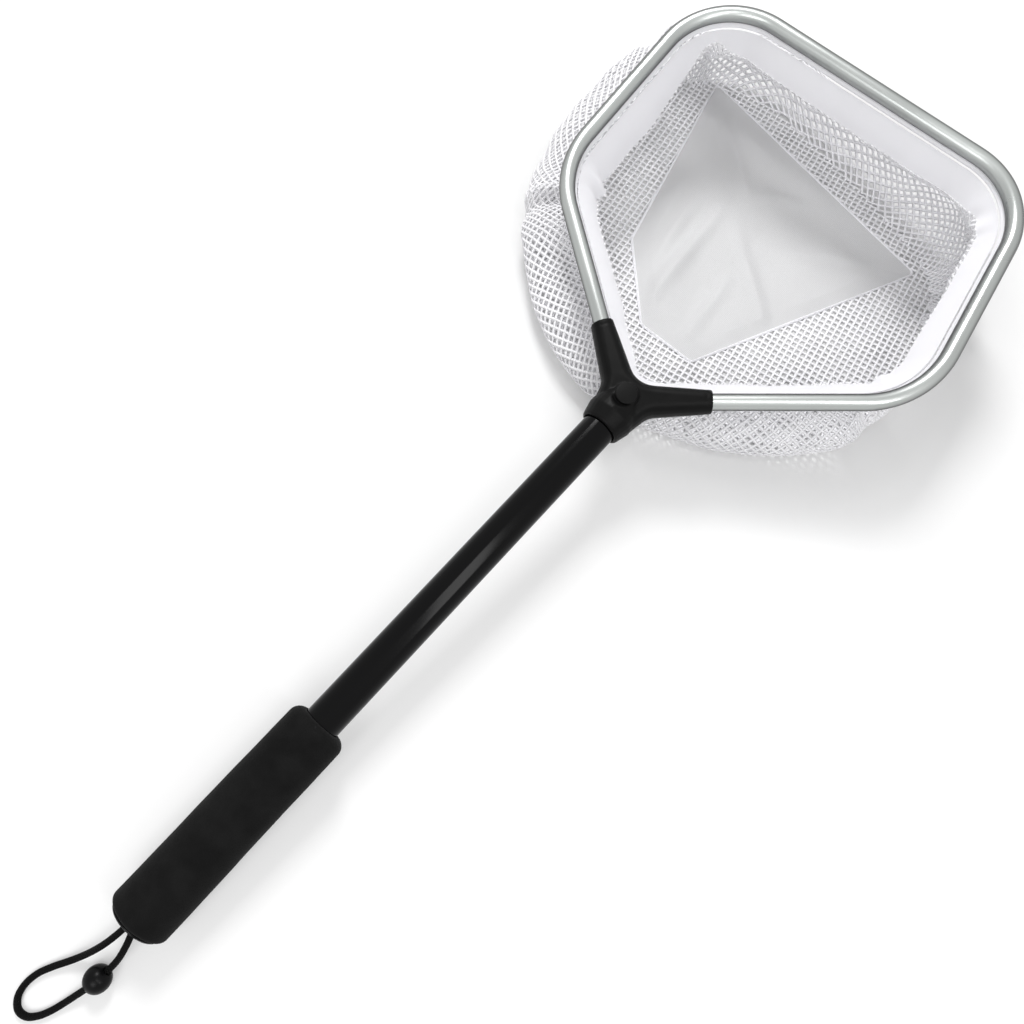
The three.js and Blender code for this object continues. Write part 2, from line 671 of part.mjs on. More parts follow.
// Where a ray from the fan's centre leaves a closed outline
function rayTo(outline, angle) {
  const centre = new THREE.Vector2(...FAN_CENTRE);
  const direction = new THREE.Vector2(Math.cos(angle), Math.sin(angle));
  let reach = 0;
  outline.forEach((p, i) => {
    const edge = outline[(i + 1) % outline.length].clone().sub(p);
    const to = p.clone().sub(centre);
    const scale = direction.cross(edge);
    if (Math.abs(scale) < 1e-9) return;
    const share = to.cross(direction) / scale;
    const distance = to.cross(edge) / scale;
    if (share >= -1e-9 && share <= 1 + 1e-9 && distance > reach) reach = distance;
  });
  return centre.addScaledVector(direction, reach);
}

const panelOutline = roundedShape(PANEL_CORNERS.map((p) => new THREE.Vector2(...p)),
  PANEL_CORNERS.map(() => PANEL_ROUND)).getPoints(4);
const bagOutline = new THREE.CatmullRomCurve3(BAG_WIDEST.map(([x, y]) => new THREE.Vector3(x, y, 0)), true)
  .getPoints(112).slice(0, 112).map((p) => new THREE.Vector2(p.x, p.y));

const wallTop = (loop) => bandRing(loop, 1, SEAT_GAP + NET_THICKNESS / 2 + BAND_THICKNESS / 2);
const fanAngle = (p) => Math.atan2(p.y - FAN_CENTRE[1], p.x - FAN_CENTRE[0]);

// For each point round the wall's top: where the bag is widest, where it meets the table and where
// the bottom panel begins
function bagProfiles(loop) {
  const floor = NET_THICKNESS / 2;
  return wallTop(loop).map((top) => {
    const angle = fanAngle(top);
    const outer = rayTo(bagOutline, angle);
    const foot = rayTo(panelOutline, angle);
    const inward = foot.clone().sub(outer).normalize().multiplyScalar(BAG_TUCK);
    return {
      top,
      widest: new THREE.Vector3(outer.x, outer.y, floor + (top.z - floor) * BAG_WIDEST_SHARE),
      table: new THREE.Vector3(outer.x + inward.x, outer.y + inward.y, floor),
      foot: new THREE.Vector3(foot.x, foot.y, floor),
    };
  });
}

// The net wall slopes outwards from the band and turns down to the bag's widest line
function netWall(loop) {
  const curves = bagProfiles(loop).map(({ top, widest }) => {
    const end = widest.clone().setZ(widest.z + 2 * SEAT_GAP);
    const shoulder = top.clone().lerp(end, BAG_SHOULDER_OUT).setZ(top.z * BAG_SHOULDER_SHARE);
    return new THREE.CubicBezierCurve3(top, shoulder, end.clone().setZ(top.z * BAG_SIDE_SHARE), end);
  });
  const rows = Array.from({ length: WALL_ROWS + 1 }, (_, v) => curves.map((c) => c.getPoint(v / WALL_ROWS)));
  return thickSkin(rows, NET_THICKNESS);
}

// The rest of the netting tucks under from the widest line and lies on the table up to the panel
function netFloor(loop) {
  const profiles = bagProfiles(loop);
  const tuck = Array.from({ length: TUCK_ROWS }, (_, v) => profiles.map(({ widest, table }) => {
    const angle = (Math.PI / 2) * (v / TUCK_ROWS);
    const p = table.clone().lerp(widest, Math.cos(angle));
    return p.setZ(widest.z + (table.z - widest.z) * Math.sin(angle));
  }));
  const flat = Array.from({ length: FLOOR_ROWS + 1 }, (_, v) => profiles.map(({ table, foot }) => (
    table.clone().lerp(foot, v / FLOOR_ROWS))));
  return thickSkin([...tuck, ...flat], NET_THICKNESS);
}

function bottomPanel(loop) {
  const centre = new THREE.Vector2(...FAN_CENTRE);
  const rim = wallTop(loop).map((t) => {
    const edge = rayTo(panelOutline, fanAngle(t));
    const out = edge.distanceTo(centre);
    return edge.sub(centre).multiplyScalar(1 - (2 * SEAT_GAP) / out).add(centre);
  });
  return new THREE.ExtrudeGeometry(new THREE.Shape(rim), {
    depth: PANEL_THICKNESS, bevelEnabled: false,
  });
}

const finishes = {
  anodised: { color: 0x17181a, roughness: 0.38, metalness: 0.75 },
  aluminium: { color: 0xb9bfbb, roughness: 0.3, metalness: 0.95 },
  moulding: { color: 0x151515, roughness: 0.5, metalness: 0 },
  gloss: { color: 0x0c0c0d, roughness: 0.15, metalness: 0 },
  foam: { color: 0x1b1b1b, roughness: 0.9, metalness: 0 },
  cord: { color: 0x0b0b0b, roughness: 0.7, metalness: 0 },
  steel: { color: 0x8d8f92, roughness: 0.35, metalness: 1 },
  band: { color: 0xf1f0f6, roughness: 0.75, metalness: 0 },
  netting: { color: 0xf4f3f8, roughness: 0.7, metalness: 0 },
  gauze: { color: 0xd9d9d9, roughness: 0.6, metalness: 0 },
};

function piece(name, geometry, finish) {
  const mesh = new THREE.Mesh(clean(geometry), new THREE.MeshStandardMaterial(finishes[finish]));
  mesh.name = name;
  return mesh;
}

const baitNet = new THREE.Group();
const handle = new THREE.Group();
handle.applyMatrix4(handleFrame);
handle.add(
  piece('handle_tube', handleTube(), 'anodised'),
  piece('foam_grip', foamGrip(), 'foam'),
  piece('end_cap', endCap(), 'gloss'),
  piece('cord_knot', cordKnot(), 'cord'),
  piece('yoke', yoke(), 'moulding'),
  piece('boss_cap', bossCap(), 'moulding'),
  piece('handle_screw', handleScrew(), 'steel'),
  piece('hoop', hoop(), 'aluminium'),
  piece('welted_hem', weltedHem(), 'band'),
);
for (const [name, side] of Object.entries(armSides)) {
  handle.add(piece(`hoop_rivet_${name}`, hoopRivet(side), 'steel'));
}

const bead = piece('cord_bead', cordBead(), 'gloss');
bead.position.set(...BEAD_AT);
bead.quaternion.setFromUnitVectors(new THREE.Vector3(0, 1, 0),
  new THREE.Vector3(...BEAD_ALONG).normalize());

const loop = hoopLoop();
baitNet.add(
  handle,
  piece('wrist_cord', wristCord(), 'cord'),
  bead,
  piece('net_band', netBand(loop), 'band'),
  piece('net_wall', netWall(loop), 'netting'),
  piece('net_floor', netFloor(loop), 'netting'),
  piece('bottom_panel', bottomPanel(loop), 'gauze'),
);

export default baitNet;
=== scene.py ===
"""The looks of a hand-held bait net that lies on a pale table.

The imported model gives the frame, in metres, with the origin on the table under the bag, +Y from the
grip to the hoop and +Z up. Each sub-assembly of the net is a class that holds its sizes, builds its
meshes and dresses them.
"""

import logging
import math
from dataclasses import dataclass
from enum import Enum
from typing import Sequence

import bmesh
import bpy
import numpy as np
from mathutils import Euler, Matrix, Vector


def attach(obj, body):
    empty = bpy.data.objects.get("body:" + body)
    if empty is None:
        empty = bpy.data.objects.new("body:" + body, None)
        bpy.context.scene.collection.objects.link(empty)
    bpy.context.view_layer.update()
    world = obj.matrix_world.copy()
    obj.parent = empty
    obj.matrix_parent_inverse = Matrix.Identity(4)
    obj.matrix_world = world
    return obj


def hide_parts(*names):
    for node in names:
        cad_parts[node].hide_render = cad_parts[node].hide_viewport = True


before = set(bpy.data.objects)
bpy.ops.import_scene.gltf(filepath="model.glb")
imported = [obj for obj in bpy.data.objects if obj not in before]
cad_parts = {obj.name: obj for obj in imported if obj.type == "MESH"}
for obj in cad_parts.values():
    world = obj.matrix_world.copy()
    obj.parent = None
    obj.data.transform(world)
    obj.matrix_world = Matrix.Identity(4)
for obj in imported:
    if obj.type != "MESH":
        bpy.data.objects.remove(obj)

log = logging.getLogger("bait_net")

BODY = "root"
DOWN = np.array([0.0, 0.0, -1.0])
SEAT_GAP = 0.0003
CLOTH_UV = "cloth"
FACING = "facing"


class Side(Enum):
    """The two arms of the yoke, by the sign of their X."""

    LEFT = -1
    RIGHT = 1


class Ramp(Enum):
    """How a mask runs between two values."""

    SMOOTH = "SMOOTHSTEP"
    STRAIGHT = "LINEAR"


@dataclass(frozen=True)
class Lie:
    """How the net lies: the handle's rise, and the hoop's rise and turn against the handle."""

    tilt: float = math.radians(5)
    pitch: float = math.radians(6)
    yaw: float = math.radians(3)
    crossing: tuple[float, float, float] = (0.0, -0.150, 0.04524)

    def head_turn(self) -> Matrix:
        """The hoop's turn within the handle's frame."""
        return Matrix.Rotation(self.pitch, 4, "X") @ Matrix.Rotation(self.yaw, 4, "Z")

    def handle(self) -> Matrix:
        """From the handle's frame, +Y towards the hoop, to the model's frame."""
        return Matrix.Translation(self.crossing) @ Matrix.Rotation(self.tilt, 4, "X")

    def head(self) -> Matrix:
        """From the hoop's frame to the model's frame."""
        return self.handle() @ self.head_turn()


def placed(points: np.ndarray, matrix: Matrix) -> np.ndarray:
    """Moves points, in rows of any shape, by a transform."""
    m = np.array(matrix)
    return points @ m[:3, :3].T + m[:3, 3]


def unit(vectors: np.ndarray) -> np.ndarray:
    """Scales vectors to length one."""
    return vectors / np.maximum(np.linalg.norm(vectors, axis=-1, keepdims=True), 1e-12)


def wave_noise(u: np.ndarray, v: np.ndarray, waves: int, seed: int, high: int) -> np.ndarray:
    """Smooth noise in two directions, made of a few waves, that closes round u.

    Args:
        u: places round a loop, 0 to 1.
        v: places across it, in any unit.
        waves: how many waves are added.
        seed: fixes the noise.
        high: the highest number of waves round the loop.

    Returns:
        Values of about -1 to 1.
    """
    random = np.random.default_rng(seed)
    total = np.zeros(np.broadcast(u, v).shape)
    for _ in range(waves):
        turns = random.integers(2, high + 1)
        slope = random.normal(0, 1.2)
        total += np.sin(2 * np.pi * (turns * u + slope * v + random.random())) / math.sqrt(turns)
    return total * 1.6 / math.sqrt(waves)


@dataclass
class Part:
    """Vertices, faces and, where a pattern follows the surface, a place on the cloth per corner."""

    vertices: np.ndarray
    faces: list[tuple[int, ...]]
    uv: np.ndarray | None = None

    def moved(self, matrix: Matrix) -> "Part":
        """A copy placed by a transform."""
        return Part(placed(self.vertices, matrix), self.faces, self.uv)


def revolve(profile: Sequence[tuple[float, float]], steps: int) -> Part:
    """Turns a closed profile of (radius, y) points about the Y axis.

    Args:
        profile: the points in order; points on the axis become poles.
        steps: how many steps a turn has.

    Returns:
        A closed part.
    """
    rings: list[list[int]] = []
    vertices: list[tuple[float, float, float]] = []
    for radius, y in profile:
        count = 1 if radius < 1e-7 else steps
        start = len(vertices)
        for i in range(count):
            angle = 2 * math.pi * i / steps
            vertices.append((radius * math.cos(angle), y, radius * math.sin(angle)))
        rings.append([start + (i % count) for i in range(steps)])
    faces: list[tuple[int, ...]] = []
    closed = profile[0][0] > 1e-7
    for row in range(len(rings) if closed else len(rings) - 1):
        a, b = rings[row], rings[(row + 1) % len(rings)]
        for i in range(steps):
            j = (i + 1) % steps
            ring = list(dict.fromkeys((a[i], b[i], b[j], a[j])))
            if len(ring) > 2:
                faces.append(tuple(ring))
    return Part(np.array(vertices), faces)


def rounded(centre: tuple[float, float], radius: float, start: float, end: float, steps: int = 8
            ) -> list[tuple[float, float]]:
    """Points of an arc that rounds an edge of a profile, between two angles in degrees."""
    angles = [math.radians(start + (end - start) * i / steps) for i in range(steps + 1)]
    return [(centre[0] + radius * math.cos(a), centre[1] + radius * math.sin(a)) for a in angles]


def sweep(section: np.ndarray, places: np.ndarray, first: np.ndarray, second: np.ndarray) -> Part:
    """Runs a closed section along a line and caps its ends.

    Args:
        section: the section's points, in the two directions across the line.
        places: the line's points.
        first: the first direction across the line, at each point.
        second: the second direction across the line, at each point.

    Returns:
        A closed part, with its uv in metres round and along it.
    """
    rings = (places[:, None] + section[None, :, 0, None] * first[:, None]
             + section[None, :, 1, None] * second[:, None])
    rows, count = rings.shape[:2]
    around = np.append(0, np.cumsum(np.linalg.norm(np.roll(section, -1, 0) - section, axis=1)))
    along = np.append(0, np.cumsum(np.linalg.norm(np.diff(places, axis=0), axis=1)))
    faces: list[tuple[int, ...]] = []
    uv: list[tuple[float, float]] = []
    for r in range(rows - 1):
        for i in range(count):
            j = (i + 1) % count
            faces.append((r * count + i, (r + 1) * count + i, (r + 1) * count + j, r * count + j))
            uv += [(around[i], along[r]), (around[i], along[r + 1]),
                   (around[i + 1], along[r + 1]), (around[i + 1], along[r])]
    for ring in (list(range(count)), list(range((rows - 1) * count, rows * count))[::-1]):
        faces.append(tuple(ring))
        uv += [(float(section[k % count][0]), float(section[k % count][1])) for k in ring]
    return Part(rings.reshape(-1, 3), faces, np.array(uv))


def cloth(rows: np.ndarray, thickness: float, uv: np.ndarray) -> Part:
    """Gives a ring-shaped sheet its thickness and closes its edges.

    Args:
        rows: points in rows, each row a closed ring.
        thickness: the sheet's thickness.
        uv: a place on the cloth per row and point, with one more point than a row for the seam.

    Returns:
        A closed part.
    """
    half = sheet_normals(rows) * thickness / 2
    skin = np.concatenate([rows + half, (rows - half)[::-1]])
    return Part(skin.reshape(-1, 3), *ring_faces(np.concatenate([uv, uv[::-1]]), True))


def ring_faces(uv: np.ndarray, closed: bool) -> tuple[list[tuple[int, ...]], np.ndarray]:
    """Joins each ring of points to the next with faces.

    Args:
        uv: a place on the cloth per ring and point, with one more point than a ring for the seam.
        closed: whether the last ring joins the first.

    Returns:
        The faces, and a place on the cloth for each of their corners.
    """
    rings, around = len(uv), uv.shape[1] - 1
    faces: list[tuple[int, ...]] = []
    corners: list[np.ndarray] = []
    for r in range(rings if closed else rings - 1):
        s = (r + 1) % rings
        for i in range(around):
            j = (i + 1) % around
            faces.append((r * around + i, r * around + j, s * around + j, s * around + i))
            corners += [uv[r][i], uv[r][i + 1], uv[s][i + 1], uv[s][i]]
    return faces, np.array(corners)


def sheet_normals(rows: np.ndarray) -> np.ndarray:
    """The direction square to a ring-shaped sheet at each of its points."""
    around = np.roll(rows, -1, axis=1) - np.roll(rows, 1, axis=1)
    return unit(np.cross(around, np.gradient(rows, axis=0)))


def linked(name: str, data: bpy.types.ID) -> bpy.types.Object:
    """A new object in the scene, at the origin, that shows some data.

    Args:
        name: its name.
        data: what it shows.

    Returns:
        The object.
    """
    thing = bpy.data.objects.new(name, data)
    bpy.context.scene.collection.objects.link(thing)
    return thing


def sheet_mesh(name: str, part: Part) -> bpy.types.Mesh:
    """A mesh of a part, with its cloth map where it has one.

    Args:
        name: the mesh's name.
        part: the part.

    Returns:
        The mesh.
    """
    mesh = bpy.data.meshes.new(name)
    mesh.from_pydata(part.vertices.tolist(), [], part.faces)
    if part.uv is not None:
        layer = mesh.uv_layers.new(name=CLOTH_UV)
        layer.data.foreach_set("uv", part.uv.astype(np.float32).ravel())
    return mesh


def make_piece(name: str, part: Part, material: bpy.types.Material, smooth_angle: float = 40
               ) -> bpy.types.Object:
    """Makes a mesh object at the origin, with its faces pointing out.

    Args:
        name: the piece's name.
        part: its vertices, faces and uv.
        material: its finish.
        smooth_angle: edges sharper than this stay sharp, in degrees.

    Returns:
        The object, linked to the scene.
    """
    mesh = sheet_mesh(name, part)
    work = bmesh.new()
    work.from_mesh(mesh)
    bmesh.ops.recalc_face_normals(work, faces=work.faces)
    if work.calc_volume(signed=True) < 0:
        bmesh.ops.reverse_faces(work, faces=work.faces)
    work.to_mesh(mesh)
    work.free()
    mesh.materials.append(material)
    mesh.shade_smooth()
    mesh.set_sharp_from_angle(angle=math.radians(smooth_angle))
    return linked(name, mesh)


def settle(piece: bpy.types.Object, slot: str, *nodes: str) -> bpy.types.Object:
    """Puts a piece on the net's body and hides the solids it stands for.

    Args:
        piece: the finished piece.
        slot: the record's material slot; not used.
        *nodes: the CAD nodes that it replaces.

    Returns:
        The piece.
    """
    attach(piece, BODY)
    if nodes:
        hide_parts(*nodes)
    log.info("%s: %d faces", piece.name, len(piece.data.polygons))
    return piece


class NodeBench:
    """A short way to add and join nodes in a tree."""

    def __init__(self, tree: bpy.types.NodeTree) -> None:
        """Starts on a tree."""
        self.tree = tree

    def add(self, kind: str, inputs: dict[str | int, object] | None = None, **settings: object
            ) -> bpy.types.Node:
        """Adds a node, sets its options and fills its inputs.

        Args:
            kind: the node's type.
            inputs: for each input, by name or number, a socket to join or a plain value.
            **settings: the node's options.

        Returns:
            The node.
        """
        node = self.tree.nodes.new(kind)
        for key, value in settings.items():
            setattr(node, key, value)
        for key, value in (inputs or {}).items():
            self.join(value, node.inputs[key])
        return node

    def join(self, value: object, socket: bpy.types.NodeSocket) -> None:
        """Joins a socket to an input, or sets the input to a plain value.

        Args:
            value: the socket or the value.
            socket: the input.
        """
        if isinstance(value, bpy.types.NodeSocket):
            self.tree.links.new(value, socket)
        else:
            socket.default_value = value

    def dressed(self, geometry: bpy.types.NodeSocket, material: bpy.types.NodeSocket
                ) -> bpy.types.NodeSocket:
        """Makes instances real, shades them smooth and gives them a material.

        Args:
            geometry: what to dress.
            material: its finish.

        Returns:
            The dressed geometry.
        """
        real = self.add("GeometryNodeRealizeInstances", {0: geometry}).outputs[0]
        smooth = self.add("GeometryNodeSetShadeSmooth", {0: real}).outputs[0]
        return self.add("GeometryNodeSetMaterial", {0: smooth, 2: material}).outputs[0]

    def math(self, operation: str, *values: object) -> bpy.types.NodeSocket:
        """Adds a Math node in either kind of tree and gives its result."""
        return self.add("ShaderNodeMath", dict(enumerate(values)), operation=operation).outputs[0]

    def vector(self, operation: str, *values: object) -> bpy.types.NodeSocket:
        """Adds a Vector Math node in either kind of tree and gives its result."""
        return self.add("ShaderNodeVectorMath", dict(enumerate(values)), operation=operation).outputs[0]

    def mix_colour(self, share: object, first: object, second: object) -> bpy.types.NodeSocket:
        """Mixes two colours by a share from 0 to 1."""
        return self.add("ShaderNodeMix", {0: share, 6: first, 7: second}, data_type="RGBA").outputs[2]

    def ramp(self, value: object, low: float, high: float, to_low: float, to_high: float,
             kind: Ramp = Ramp.STRAIGHT) -> bpy.types.NodeSocket:
        """Maps a value from between low and high to between to_low and to_high."""
        inputs = {0: value, 1: low, 2: high, 3: to_low, 4: to_high}
        return self.add("ShaderNodeMapRange", inputs, interpolation_type=kind.value).outputs[0]


def new_group(name: str, kind: str, sockets: Sequence[tuple[str, str, str, object]]
              ) -> tuple[NodeBench, bpy.types.bpy_prop_collection, bpy.types.bpy_prop_collection]:
    """Starts a node group with named inputs and outputs.

    Args:
        name: the group's name.
        kind: its tree type.
        sockets: for each socket its name, IN or OUT, its type and its default value.

    Returns:
        The bench, the sockets that bring the group's inputs and those that take its outputs.
    """
    tree = bpy.data.node_groups.new(name, kind)
    for label, way, socket_type, default in sockets:
        socket = tree.interface.new_socket(name=label, in_out=way + "PUT", socket_type=socket_type)
        if default is not None:
            socket.default_value = default
    bench = NodeBench(tree)
    return bench, bench.add("NodeGroupInput").outputs, bench.add("NodeGroupOutput").inputs


VALUE = "NodeSocketFloat"
COUNT = "NodeSocketInt"
POINT = "NodeSocketVector"
SHAPE = "NodeSocketGeometry"
FINISH = "NodeSocketMaterial"


def sample_on(bench: NodeBench, surface: bpy.types.NodeSocket, value: bpy.types.NodeSocket,
              cloth_map: bpy.types.NodeSocket, at: bpy.types.NodeSocket) -> bpy.types.Node:
    """Reads a value of a surface at places of its cloth map."""
    inputs = {"Mesh": surface, "Value": value, "UV Map": cloth_map, "Sample UV": at}
    return bench.add("GeometryNodeSampleUVSurface", inputs, data_type="FLOAT_VECTOR")


def netting_tree() -> bpy.types.NodeTree:
    """Two families of slanting strands that cross in diamonds, laid on a surface by its cloth map.

    Returns:
        The Geometry Nodes tree.
    """
    bench, given, out = new_group("diamond_netting", "GeometryNodeTree", [
        ("Surface", "IN", SHAPE, None), ("Material", "IN", FINISH, None),
        ("Diamond", "IN", VALUE, 0.0054), ("Columns", "IN", COUNT, 160), ("Rows", "IN", COUNT, 40),
        ("Start", "IN", POINT, (0, 0, 0)), ("Wrap Low", "IN", VALUE, 0.0),
        ("Wrap High", "IN", VALUE, 1.0), ("Strand Width", "IN", VALUE, 0.0012),
        ("Strand Thickness", "IN", VALUE, 0.0006), ("Knot Radius", "IN", VALUE, 0.0007),
        ("Slack", "IN", VALUE, 0.0002),
        ("Seed", "IN", COUNT, 1), ("Netting", "OUT", SHAPE, None)])
    half = bench.math("MULTIPLY", given["Diamond"], 0.5)
    back = bench.math("MULTIPLY", half, -1.0)
    step = bench.add("ShaderNodeCombineXYZ", {0: given["Diamond"]}).outputs[0]
    starts = bench.add("GeometryNodeMeshLine", {
        "Count": given["Columns"], "Start Location": given["Start"], "Offset": step})
    families = bench.add("GeometryNodeJoinGeometry")
    for across in (half, back):
        slant = bench.add("ShaderNodeCombineXYZ", {0: across, 1: half}).outputs[0]
        strand = bench.add("GeometryNodeMeshLine", {"Count": given["Rows"], "Offset": slant})
        laid = bench.add("GeometryNodeInstanceOnPoints",
                         {"Points": starts.outputs[0], "Instance": strand.outputs[0]})
        bench.join(laid.outputs[0], families.inputs[0])
    strands = bench.add("GeometryNodeRealizeInstances", {0: families.outputs[0]}).outputs[0]
    place = bench.add("GeometryNodeInputPosition").outputs[0]
    xyz = bench.add("ShaderNodeSeparateXYZ", {0: place})
    wrapped = bench.math("WRAP", xyz.outputs[0], given["Wrap High"], given["Wrap Low"])
    on_cloth = bench.add("ShaderNodeCombineXYZ", {0: wrapped, 1: xyz.outputs[1]}).outputs[0]
    cloth_map = bench.add("GeometryNodeInputNamedAttribute", {"Name": CLOTH_UV},
                          data_type="FLOAT_VECTOR").outputs[0]
    sampled = sample_on(bench, given["Surface"], place, cloth_map, on_cloth)
    facing = sample_on(bench, given["Surface"], bench.add("GeometryNodeInputNormal").outputs[0],
                       cloth_map, on_cloth)
    known = bench.add("GeometryNodeStoreNamedAttribute",
                      {"Geometry": strands, "Name": FACING, "Value": facing.outputs["Value"]},
                      data_type="FLOAT_VECTOR").outputs[0]
    missing = bench.add("FunctionNodeBooleanMath", {0: sampled.outputs["Is Valid"]}, operation="NOT")
    kept = bench.add("GeometryNodeDeleteGeometry", {0: known, 1: missing.outputs[0]})
    noise = bench.add("ShaderNodeTexNoise", {"W": given["Seed"], "Scale": 160.0, "Detail": 1.0},
                      noise_dimensions="4D")
    sway = bench.vector("SUBTRACT", noise.outputs["Color"], (0.5, 0.5, 0.5))
    slack = bench.add("ShaderNodeVectorMath", {0: sway, "Scale": given["Slack"]},
                      operation="SCALE").outputs[0]
    moved = bench.add("GeometryNodeSetPosition", {
        "Geometry": kept.outputs[0], "Position": sampled.outputs["Value"], "Offset": slack}).outputs[0]
    facing_now = bench.add("GeometryNodeInputNamedAttribute", {"Name": FACING},
                           data_type="FLOAT_VECTOR").outputs[0]
    line = bench.add("GeometryNodeMeshToCurve", {0: moved}).outputs[0]
    turned = bench.add("GeometryNodeSetCurveNormal", {"Curve": line, "Normal": facing_now}, mode="FREE")
    ring = bench.add("GeometryNodeCurvePrimitiveCircle", {"Resolution": 4, "Radius": 0.55}).outputs[0]
    flatness = bench.add("ShaderNodeCombineXYZ", {
        0: given["Strand Thickness"], 1: given["Strand Width"], 2: 1.0}).outputs[0]
    section = bench.add("GeometryNodeTransform", {"Geometry": ring, "Scale": flatness}).outputs[0]
    tube = bench.add("GeometryNodeCurveToMesh", {0: turned.outputs[0], 1: section, "Fill Caps": True})
    knot = bench.add("GeometryNodeMeshUVSphere", {"Segments": 6, "Rings": 2,
                                                  "Radius": given["Knot Radius"]}).outputs[0]
    upright = bench.add("FunctionNodeAlignRotationToVector", {"Vector": facing_now},
                        axis="Z").outputs[0]
    knots = bench.add("GeometryNodeInstanceOnPoints", {
        "Points": moved, "Instance": knot, "Rotation": upright, "Scale": (1.0, 1.0, 0.38)})
    points = bench.add("GeometryNodeAttributeDomainSize", {0: moved}).outputs[0]
    first_half = bench.math("LESS_THAN", bench.add("GeometryNodeInputIndex").outputs[0],
                            bench.math("MULTIPLY", points, 0.5))
    bench.join(first_half, knots.inputs["Selection"])
    joined = bench.add("GeometryNodeJoinGeometry")
    bench.join(tube.outputs[0], joined.inputs[0])
    bench.join(knots.outputs[0], joined.inputs[0])
    bench.join(bench.dressed(joined.outputs[0], given["Material"]), out[0])
    return bench.tree


def stitch_tree() -> bpy.types.NodeTree:
    """Short threads laid end to end along a line.

    Returns:
        The Geometry Nodes tree.
    """
    bench, given, out = new_group("running_stitch", "GeometryNodeTree", [
        ("Line", "IN", SHAPE, None), ("Material", "IN", FINISH, None),
        ("Spacing", "IN", VALUE, 0.003), ("Stitch Length", "IN", VALUE, 0.0022),
        ("Thread Radius", "IN", VALUE, 0.00025), ("Seed", "IN", COUNT, 1),
        ("Stitches", "OUT", SHAPE, None)])
    line = bench.add("GeometryNodeMeshToCurve", {0: given["Line"]}).outputs[0]
    spaced = bench.add("GeometryNodeCurveToPoints",
                       {"Curve": line, "Length": given["Spacing"]}, mode="LENGTH")
    thread = bench.add("GeometryNodeMeshUVSphere",
                       {"Segments": 6, "Rings": 4, "Radius": 1.0}).outputs[0]
    turn = bench.add("FunctionNodeAlignRotationToVector", {"Vector": spaced.outputs["Tangent"]},
                     axis="X")
    uneven = bench.add("FunctionNodeRandomValue", {2: 0.85, 3: 1.0, "Seed": given["Seed"]},
                       data_type="FLOAT")
    long_half = bench.math("MULTIPLY", given["Stitch Length"], 0.5)
    length = bench.math("MULTIPLY", long_half, uneven.outputs[1])
    radius = given["Thread Radius"]
    scale = bench.add("ShaderNodeCombineXYZ", {0: length, 1: radius, 2: radius}).outputs[0]
    laid = bench.add("GeometryNodeInstanceOnPoints", {
        "Points": spaced.outputs[0], "Instance": thread, "Rotation": turn.outputs[0], "Scale": scale})
    bench.join(bench.dressed(laid.outputs[0], given["Material"]), out[0])
    return bench.tree


def grow(name: str, source: bpy.types.Object, tree: bpy.types.NodeTree, settings: dict[str, object]
         ) -> bpy.types.Object:
    """Runs a Geometry Nodes tree on an object and keeps the result as a plain mesh.

    Args:
        name: the new piece's name.
        source: the object that the tree works on, deleted afterwards.
        tree: the tree.
        settings: the tree's inputs by name.

    Returns:
        The new piece at the origin.
    """
    modifier = source.modifiers.new(tree.name, "NODES")
    modifier.node_group = tree
    for item in tree.interface.items_tree:
        if item.item_type == "SOCKET" and item.in_out == "INPUT" and item.name in settings:
            modifier[item.identifier] = settings[item.name]
    source.update_tag()
    graph = bpy.context.evaluated_depsgraph_get()
    mesh = bpy.data.meshes.new_from_object(source.evaluated_get(graph), depsgraph=graph)
    mesh.name = name
    source.modifiers.remove(modifier)
    old = source.data
    bpy.data.objects.remove(source)
    bpy.data.meshes.remove(old)
    return linked(name, mesh)


def closed_line(name: str, points: np.ndarray) -> bpy.types.Object:
    """A closed line of edges for a Geometry Nodes tree to work on.

    Args:
        name: the object's name.
        points: the line's points.

    Returns:
        The object.
    """
    edges = [(i, (i + 1) % len(points)) for i in range(len(points))]
    mesh = bpy.data.meshes.new(name)
    mesh.from_pydata(points.tolist(), edges, [])
    return linked(name, mesh)


def grain_group() -> bpy.types.NodeTree:
    """Fine grain: a height for bump and a mask for roughness, from noise on Object coordinates.

    Returns:
        The shader group.
    """
    bench, given, out = new_group("fine_grain", "ShaderNodeTree", [
        ("Scale", "IN", VALUE, 900.0), ("Stretch", "IN", POINT, (1, 1, 1)),
        ("Height", "OUT", VALUE, None), ("Cloud", "OUT", VALUE, None)])
    place = bench.add("ShaderNodeTexCoord").outputs["Object"]
    scaled = bench.vector("MULTIPLY", place, given["Stretch"])
    fine = bench.add("ShaderNodeTexNoise", {"Vector": scaled, "Scale": given["Scale"],
                                            "Detail": 3.0, "Roughness": 0.6})
    broad = bench.add("ShaderNodeTexNoise", {"Vector": scaled, "Detail": 2.0})
    bench.join(bench.math("MULTIPLY", given["Scale"], 0.06), broad.inputs["Scale"])
    bench.join(fine.outputs[0], out["Height"])
    bench.join(broad.outputs[0], out["Cloud"])
    return bench.tree


